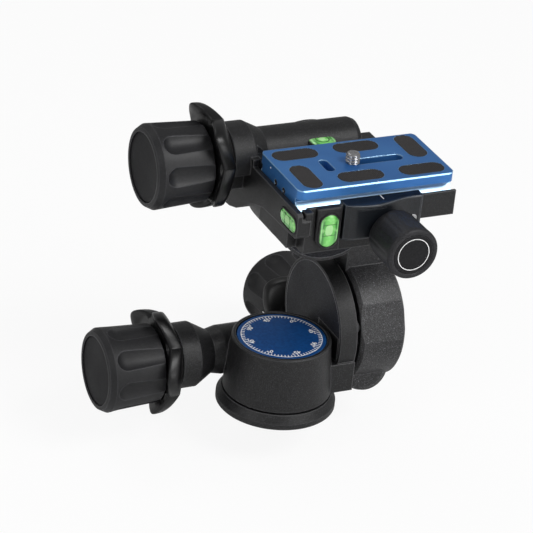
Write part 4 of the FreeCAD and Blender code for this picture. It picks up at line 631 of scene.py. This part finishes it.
def side_level_vial():
    """Vial in the left wall, along the wall's foot."""
    rows = [side_outline(x, radius) for x, radius in SIDE_VIAL_ROWS]
    made = piece("side_level_vial", *loft(rows), "top_body", "vial_green", "vial_side", smooth=True)
    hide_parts("side_level")
    x, low, high, half_width = -14.0, 94.6, 100.0, 0.13
    lines = []
    for y in (-22.7, -18.3):
        lines.append(prism([(x, y - half_width, low), (x, y + half_width, low), (x, y + half_width, high),
                            (x, y - half_width, high)], (-1, 0, 0), 0.17))
    piece("side_level_lines", *joined(lines), "top_body", "vial_green", "vial_line")
    bubble = [side_outline(x, 1.7 * scale, 1.0 * scale, BUBBLE_STEPS, 0.3) for x, scale in SIDE_BUBBLE_ROWS]
    piece("side_level_bubble", *loft(bubble), "top_body", "vial_green", "vial_bubble", smooth=True)


def level_rims():
    """Raised black rims round the two vials."""
    front = [front_outline(y, radius) for y, radius in FRONT_RIM_ROWS]
    side = [side_outline(x, radius) for x, radius in SIDE_RIM_ROWS]
    for name, rows in (("front_level_rim", front), ("side_level_rim", side)):
        verts, faces = loft(rows)
        uncapped = faces[2:]
        piece(name, verts, uncapped, "top_body", "housing_black", "ring_black", smooth=True)


def round_level_vial():
    """Round bubble level: domed window, ring and bubble; profiles are (height, radius)."""
    x, y = ROUND_LEVEL
    dome = [(107.05, 0), (107.05, 3.95), (108.38, 3.95), (108.42, 5.7), (108.85, 5.55), (109.1, 4.2),
            (109.2, 0)]
    ring = [(108.9, 2.6), (109.22, 2.6), (109.2, 3.0), (108.9, 3.0)]
    bubble = [(109.0, 1.7), (109.24, 1.4), (109.3, 0.7), (109.32, 0)]
    rim = [(108.2, 6.1), (108.45, 6.05), (108.6, 5.9), (108.55, 5.65), (108.2, 5.6)]
    made = piece("round_level_vial", *lathe(dome, (x, y, 0), UP), "top_body", "vial_green", "vial_round",
                 smooth=True)
    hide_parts("round_level")
    piece("round_level_ring", *lathe(ring, (x, y, 0), UP, 48, closed=True), "top_body", "vial_green",
          "vial_line")
    piece("round_level_bubble", *lathe(bubble, (x - 0.2, y, 0), UP, 32), "top_body", "vial_green",
          "vial_bubble", smooth=True)
    piece("round_level_rim", *lathe(rim, (x, y, 0), UP), "top_body", "housing_black", "ring_black",
          smooth=True)


# ------------------------------------------------------------------ release rings
WORM_TO_WHEEL = 17.1
SLEEVE_THROW = 1.6
SLEEVE_ANGLE = math.radians(30)
SLEEVE_ALONG = WORM_TO_WHEEL + SLEEVE_THROW * math.cos(SLEEVE_ANGLE)
SLEEVE_ASIDE = SLEEVE_THROW * math.sin(SLEEVE_ANGLE)
COLLAR_FROM_END = 34.3
RING_GAP = 0.9                      # between the collar and the ring
RING_WIDTH = 7.2
RING_BORE, RING_WEB = 6.9, 12.0     # radii
RING_STEPS = 180
LOBES = 5
LOBE_TIP_SOFTNESS = 0.2             # how far the tip is rounded, against half a lobe
LOBE_SPAN = 0.82                    # the softened way from a tip to a valley
SIDE_SLOPE = math.radians(5.0)
DRIVES = (
    ("pan", (0, 0, 16.2), (1, 0, 0), (0, 1, 0), 75.8, 30.0),
    ("side", (39.6, 15, 27), (0, -math.cos(SIDE_SLOPE), math.sin(SIDE_SLOPE)),
     (0, -math.sin(SIDE_SLOPE), -math.cos(SIDE_SLOPE)), 71.5, 15.0),
    ("front", (22, 31.5, 83.5), (1, 0, 0), UP, 77.0, 44.0),
)


def ring_section(inner, outer, lobe):
    """Closed section of (reach, radius) pairs; lobe goes from 0 in a valley to 1 at a tip."""
    edge = 18.7 + 4.4 * lobe
    lean = 4.2 * lobe - 1.4
    fall = 0.7 + 5.1 * lobe
    return [(inner, RING_BORE), (inner, RING_WEB), (inner, 15.2), (inner - 0.2, 15.7),
            (inner - 0.45 * fall, edge - 1.2 - 1.8 * lobe), (inner - 0.8 * fall, edge - 0.6 - 0.4 * lobe),
            (inner - fall, edge - 0.15), (outer + 1.2 - lean, edge + 0.05), (outer + 0.4 - lean, edge),
            (outer - lean, edge - 0.35), (outer - 0.8 * lean, edge - 1.4 - 1.2 * lobe),
            (outer - 0.3 * max(lean, 0.0), min(18.2, edge - 1.7)), (outer, min(17.7, edge - 1.8)),
            (outer, RING_WEB), (outer, RING_BORE)]


def release_ring(prefix, origin, along, across, reach, lobe_angle):
    """Five-lobed ring: its lobes lean over the knob and fall away in a curve towards the barrel."""
    along, across = Vector(along), Vector(across)
    third = along.cross(across)
    centre = Vector(origin) + across * SLEEVE_ALONG + third * SLEEVE_ASIDE
    inner = -(reach - COLLAR_FROM_END) - RING_GAP
    verts, faces = [], []
    for step in range(RING_STEPS):
        turn = 2 * math.pi * step / RING_STEPS
        from_tip = abs((step * LOBES / RING_STEPS + 0.5) % 1.0 - 0.5) * 2.0
        lobe = 1.0 - (math.hypot(from_tip, LOBE_TIP_SOFTNESS) - LOBE_TIP_SOFTNESS) / LOBE_SPAN
        angle = turn + math.radians(lobe_angle)
        out = across * math.cos(angle) + third * math.sin(angle)
        section = ring_section(inner, inner - RING_WIDTH, lobe)
        verts += [centre + along * x + out * radius for x, radius in section]
    count = len(section)
    for row in range(RING_STEPS):
        start, after = row * count, (row + 1) % RING_STEPS * count
        for step in range(count):
            following = (step + 1) % count
            faces.append([start + step, start + following, after + following, after + step])
    made = piece(prefix + "_ring_sculpted", verts, faces, prefix + "_release_body", "ring_black",
                 "ring_black", smooth=True)
    modifier = made.modifiers.new("smooth", "SUBSURF")
    modifier.levels = modifier.render_levels = 1
    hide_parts(prefix + "_release_ring")


# ------------------------------------------------------------------ clamp
JAW_ENDS = (8.7, 44.0)              # x
JAW_COLUMNS = 36
JAW_FOOT, JAW_TOP = 88.0, 103.8
JAW_BACK, JAW_FRONT_LIMIT = -18.05, -27.9


def wavy_jaw():
    """Moving jaw with a wavy front, over the plate's near bevel."""
    rings = []
    for column in range(JAW_COLUMNS + 1):
        share = column / JAW_COLUMNS
        x = JAW_ENDS[0] + (JAW_ENDS[1] - JAW_ENDS[0]) * share
        front = -27.2 - 1.75 * math.cos(2 * math.pi * (share - 0.33) * 0.9)
        front += max(0.0, 0.05 - share) * 14 + max(0.0, share - 0.97) * 20
        low = max(front, JAW_FRONT_LIMIT)
        section = [(JAW_BACK, JAW_FOOT), (JAW_BACK, 100.7), (-23.3, 100.7), (-23.3, 101.2), (-20.7, JAW_TOP),
                   (front + 0.8, JAW_TOP), (front + 0.2, 103.6), (front, 103.0), (front, 102.3), (low, 101.4),
                   (low, 89.0), (low + 0.9, JAW_FOOT)]
        rings.append([Vector((x, y, z)) for y, z in section])
    made = piece("clamp_jaw_shaped", *loft(rings), "jaw_body", "jaw_dark", "jaw_dark")
    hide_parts("clamp_jaw")
    mark = bar_on_top(26.15, 26.5, -24.6, -21.4, JAW_TOP, 0.05)
    piece("jaw_centre_mark", *mark, "jaw_body", "jaw_dark", "print_white")


CLAMP_PROFILE = (                   # (reach, radius) from the neck to the cap's seat
    (28.05, 3.3), (28.05, 7.0), (29.4, 7.0), (29.4, 9.6), (29.9, 10.4), (30.8, 10.75), (33.0, 10.8),
    (44.5, 10.95), (47.2, 11.1), (48.2, 11.0), (48.8, 10.6), (49.0, 10.1), (49.0, 8.9), (48.7, 8.62),
    (48.0, 8.62))
CLAMP_GRIP = (30.5, 46.5)
CLAMP_STEPS = 144
CLAMP_FLUTES = 12
CLAMP_FLUTE_DEPTH = 0.28


def turned_clamp_knob():
    """Clamp knob with shallow grip flutes, a rounded rim and a seat for its cap."""
    x, z = CLAMP_AXIS
    rings = []
    for reach, radius in CLAMP_PROFILE:
        depth = CLAMP_FLUTE_DEPTH if CLAMP_GRIP[0] < reach < CLAMP_GRIP[1] else 0.0
        ring = []
        for step in range(CLAMP_STEPS):
            turn = 2 * math.pi * step / CLAMP_STEPS
            around = radius - depth * max(0.0, math.cos(CLAMP_FLUTES * turn)) ** 3
            ring.append(Vector((x + around * math.cos(turn), -reach, z + around * math.sin(turn))))
        rings.append(ring)
    made = piece("clamp_knob_turned", *loft(rings), "clamp_knob_body", "ring_black", "clamp_black",
                 smooth=True)
    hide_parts("clamp_knob")


def knob_ring_mark():
    """Thin printed ring on the clamp knob's cap."""
    x, z = CLAMP_AXIS
    profile = [(48.92, 6.7), (48.98, 6.7), (48.98, 7.0), (48.92, 7.0)]
    ring = lathe(profile, (x, 0, z), (0, -1, 0), 72, closed=True)
    piece("clamp_cap_ring", *ring, "clamp_knob_body", "cap_black", "print_white")


# ------------------------------------------------------------------ plate fittings
PADS = (                            # middle from the plate's centre, and the turn
    (-22.5, 12.3, 0), (5.3, 12.9, 0), (28.1, 7.7, 90), (-26.8, -7.2, 90), (-4.4, -11.7, 0), (22.9, -12.2, 0))
PAD_HALF = 5.75
PAD_RADIUS = 4.25
PAD_FOOT = 109.6
PAD_EDGE_DROP, PAD_EDGE_INSET = 0.12, 0.15
PAD_LEAST_WIDTH = 0.25
RIB_PITCH = 0.84
RIB_VALLEY, RIB_TOP = 110.84, 111.08


def ribbed_pads():
    """Rubber pads with fine ribs across their length."""
    reach_end = PAD_HALF + PAD_RADIUS
    count = int(round(2 * reach_end / (RIB_PITCH / 2)))
    parts = []
    for x, y, turn in PADS:
        along, across = ((1, 0), (0, 1)) if turn == 0 else ((0, 1), (-1, 0))
        rows = []
        for step in range(count + 1):
            reach = -reach_end + 2 * reach_end * step / count
            past = max(0.0, abs(reach) - PAD_HALF)
            width = max(PAD_LEAST_WIDTH, math.sqrt(max(0.0, PAD_RADIUS ** 2 - past ** 2)))
            top = RIB_TOP if step % 2 else RIB_VALLEY
            edge = top - PAD_EDGE_DROP
            ring = []
            for side, z in ((-width, PAD_FOOT), (-width, edge), (-width + PAD_EDGE_INSET, top),
                            (width - PAD_EDGE_INSET, top), (width, edge), (width, PAD_FOOT)):
                ring.append(Vector((PLATE_CENTRE[0] + x + along[0] * reach + across[0] * side,
                                    PLATE_CENTRE[1] + y + along[1] * reach + across[1] * side, z)))
            rows.append(ring)
        parts.append(loft(rows))
    made = piece("plate_pads_ribbed", *joined(parts), "plate_body", "pad_rubber", "pad_rubber")
    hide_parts("plate_pads")


SCREW_PITCH = 1.27
SCREW_OUTER = 3.1
SCREW_THREAD_DEPTH = 0.7
SCREW_SEGMENTS = 40
SCREW_NECK_R = 2.45
HEAD_LOW, HEAD_HIGH = 101.6, 104.8
HEAD_R, HEAD_EDGE = 7.0, 0.4
SCREW_THREAD_LOW, SCREW_TIP = 111.0, 115.3


def threaded_screw():
    """Camera screw with its thread cut and its head under the plate."""
    x, y = CAMERA_SCREW
    heights = [(HEAD_LOW + HEAD_EDGE, 2.0), (HEAD_LOW, 2.0), (HEAD_LOW, HEAD_R - HEAD_EDGE),
               (HEAD_LOW + HEAD_EDGE, HEAD_R), (HEAD_HIGH - HEAD_EDGE, HEAD_R),
               (HEAD_HIGH, HEAD_R - HEAD_EDGE), (HEAD_HIGH, SCREW_NECK_R), (110.9, SCREW_NECK_R)]
    z = SCREW_THREAD_LOW
    while z < SCREW_TIP - 0.7:
        heights.append((z, None))
        z += SCREW_PITCH / 12
    heights += [(SCREW_TIP - 0.6, 2.75), (SCREW_TIP - 0.12, 2.35), (SCREW_TIP, 2.0), (SCREW_TIP, 1.6)]
    rows = []
    for z, radius in heights:
        row = []
        for step in range(SCREW_SEGMENTS):
            turn = 2 * math.pi * step / SCREW_SEGMENTS
            reach = radius
            if radius is None:
                phase = (z / SCREW_PITCH - step / SCREW_SEGMENTS) % 1.0
                reach = SCREW_OUTER - SCREW_THREAD_DEPTH * min(1.0, abs(phase - 0.5) * 2.4)
            row.append(Vector((x + reach * math.cos(turn), y + reach * math.sin(turn), z)))
        rows.append(row)
    made = piece("camera_screw_threaded", *loft(rows), "camera_screw_body", "steel", "steel", smooth=True)
    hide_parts("camera_screw")


def plate_marks():
    """Centre line on the plate's near edge, and a dot on its left end."""
    tick = bar_on_top(23.85, 24.15, -22.9, -21.9, PLATE_TOP, 0.04)
    piece("plate_centre_mark", *tick, "plate_body", "plate_blue", "print_white")
    dot = lathe([(10.98, 0), (11.05, 0.35), (11.08, 0)], (0, 4.2, 108.4), (-1, 0, 0), 16)
    piece("plate_end_dot", *dot, "plate_body", "plate_blue", "print_white")


# ------------------------------------------------------------------ stage
FLOOR_HALF = 6.0                    # metres
FLOOR_GAP = 0.0005
FLOOR_GREY = (0.86, 0.86, 0.86, 1.0)
FLOOR_GLOW_SHARE = 0.9
WORLD_STRENGTH = 0.42


def make_stage():
    """Pale floor that keeps the shadow, and a white surround."""
    mesh = bpy.data.meshes.new("floor")
    low = CAD_BOX[0][2] - FLOOR_GAP
    corners = [(x * FLOOR_HALF, y * FLOOR_HALF, low) for x, y in ((-1, -1), (1, -1), (1, 1), (-1, 1))]
    mesh.from_pydata(corners, [], [(0, 1, 2, 3)])
    material, tree, shader = new_material("floor")
    tree.nodes.remove(shader)
    output = tree.nodes["Material Output"]
    plain = tree.nodes.new("ShaderNodeBsdfDiffuse")
    plain.inputs["Color"].default_value = FLOOR_GREY
    glow = tree.nodes.new("ShaderNodeEmission")
    seen = tree.nodes.new("ShaderNodeMixShader")
    path = tree.nodes.new("ShaderNodeLightPath")
    share = maths(tree, "MULTIPLY", path.outputs["Is Camera Ray"], FLOOR_GLOW_SHARE)
    tree.links.new(share, seen.inputs[0])
    tree.links.new(plain.outputs[0], seen.inputs[1])
    tree.links.new(glow.outputs[0], seen.inputs[2])
    tree.links.new(seen.outputs[0], output.inputs["Surface"])
    mesh.materials.append(material)
    floor = bpy.data.objects.new("floor", mesh)
    bpy.context.scene.collection.objects.link(floor)

    world = bpy.data.worlds.new("studio")
    bpy.context.scene.world = world
    world.use_nodes = True
    tree = world.node_tree
    tree.nodes.clear()
    path = tree.nodes.new("ShaderNodeLightPath")
    seen = maths(tree, "MAXIMUM", path.outputs["Is Camera Ray"], path.outputs["Is Transmission Ray"])
    soft = tree.nodes.new("ShaderNodeBackground")
    soft.inputs["Strength"].default_value = WORLD_STRENGTH
    white = tree.nodes.new("ShaderNodeBackground")
    mix = tree.nodes.new("ShaderNodeMixShader")
    output = tree.nodes.new("ShaderNodeOutputWorld")
    tree.links.new(seen, mix.inputs[0])
    tree.links.new(soft.outputs[0], mix.inputs[1])
    tree.links.new(white.outputs[0], mix.inputs[2])
    tree.links.new(mix.outputs[0], output.inputs["Surface"])


def make_light(name, place, aim, size, power):
    """Rectangular lamp; places and size in metres, power in watts."""
    data = bpy.data.lights.new(name, "AREA")
    data.shape = "RECTANGLE"
    data.size, data.size_y = size
    data.energy = power
    light = bpy.data.objects.new(name, data)
    light.location = place
    light.rotation_euler = (Vector(aim) - Vector(place)).to_track_quat("-Z", "Y").to_euler()
    bpy.context.scene.collection.objects.link(light)


LIGHTS = (
    ("front_top", (0.5, -0.75, 1.1), (0.02, 0.0, 0.08), (0.7, 0.5), 10.8),
    ("front_right", (0.75, -1.3, 0.4), (0.02, 0.0, 0.05), (0.5, 0.5), 4.0),
    ("left", (-1.2, -0.5, 0.8), (0.0, 0.0, 0.06), (0.7, 0.9), 4.8),
    ("top_back", (-0.25, 0.75, 1.2), (0.02, 0.0, 0.08), (0.7, 0.4), 2.0),
)

make_camera()
make_stage()
for light in LIGHTS:
    make_light(*light)
bpy.context.scene.view_settings.view_transform = "Standard"
dress_nodes()
dial_marks()
index_mark()
front_level_vial()
side_level_vial()
round_level_vial()
level_rims()
level_block()
for drive in DRIVES:
    release_ring(*drive)
wavy_jaw()
turned_clamp_knob()
knob_ring_mark()
ribbed_pads()
threaded_screw()
plate_marks()
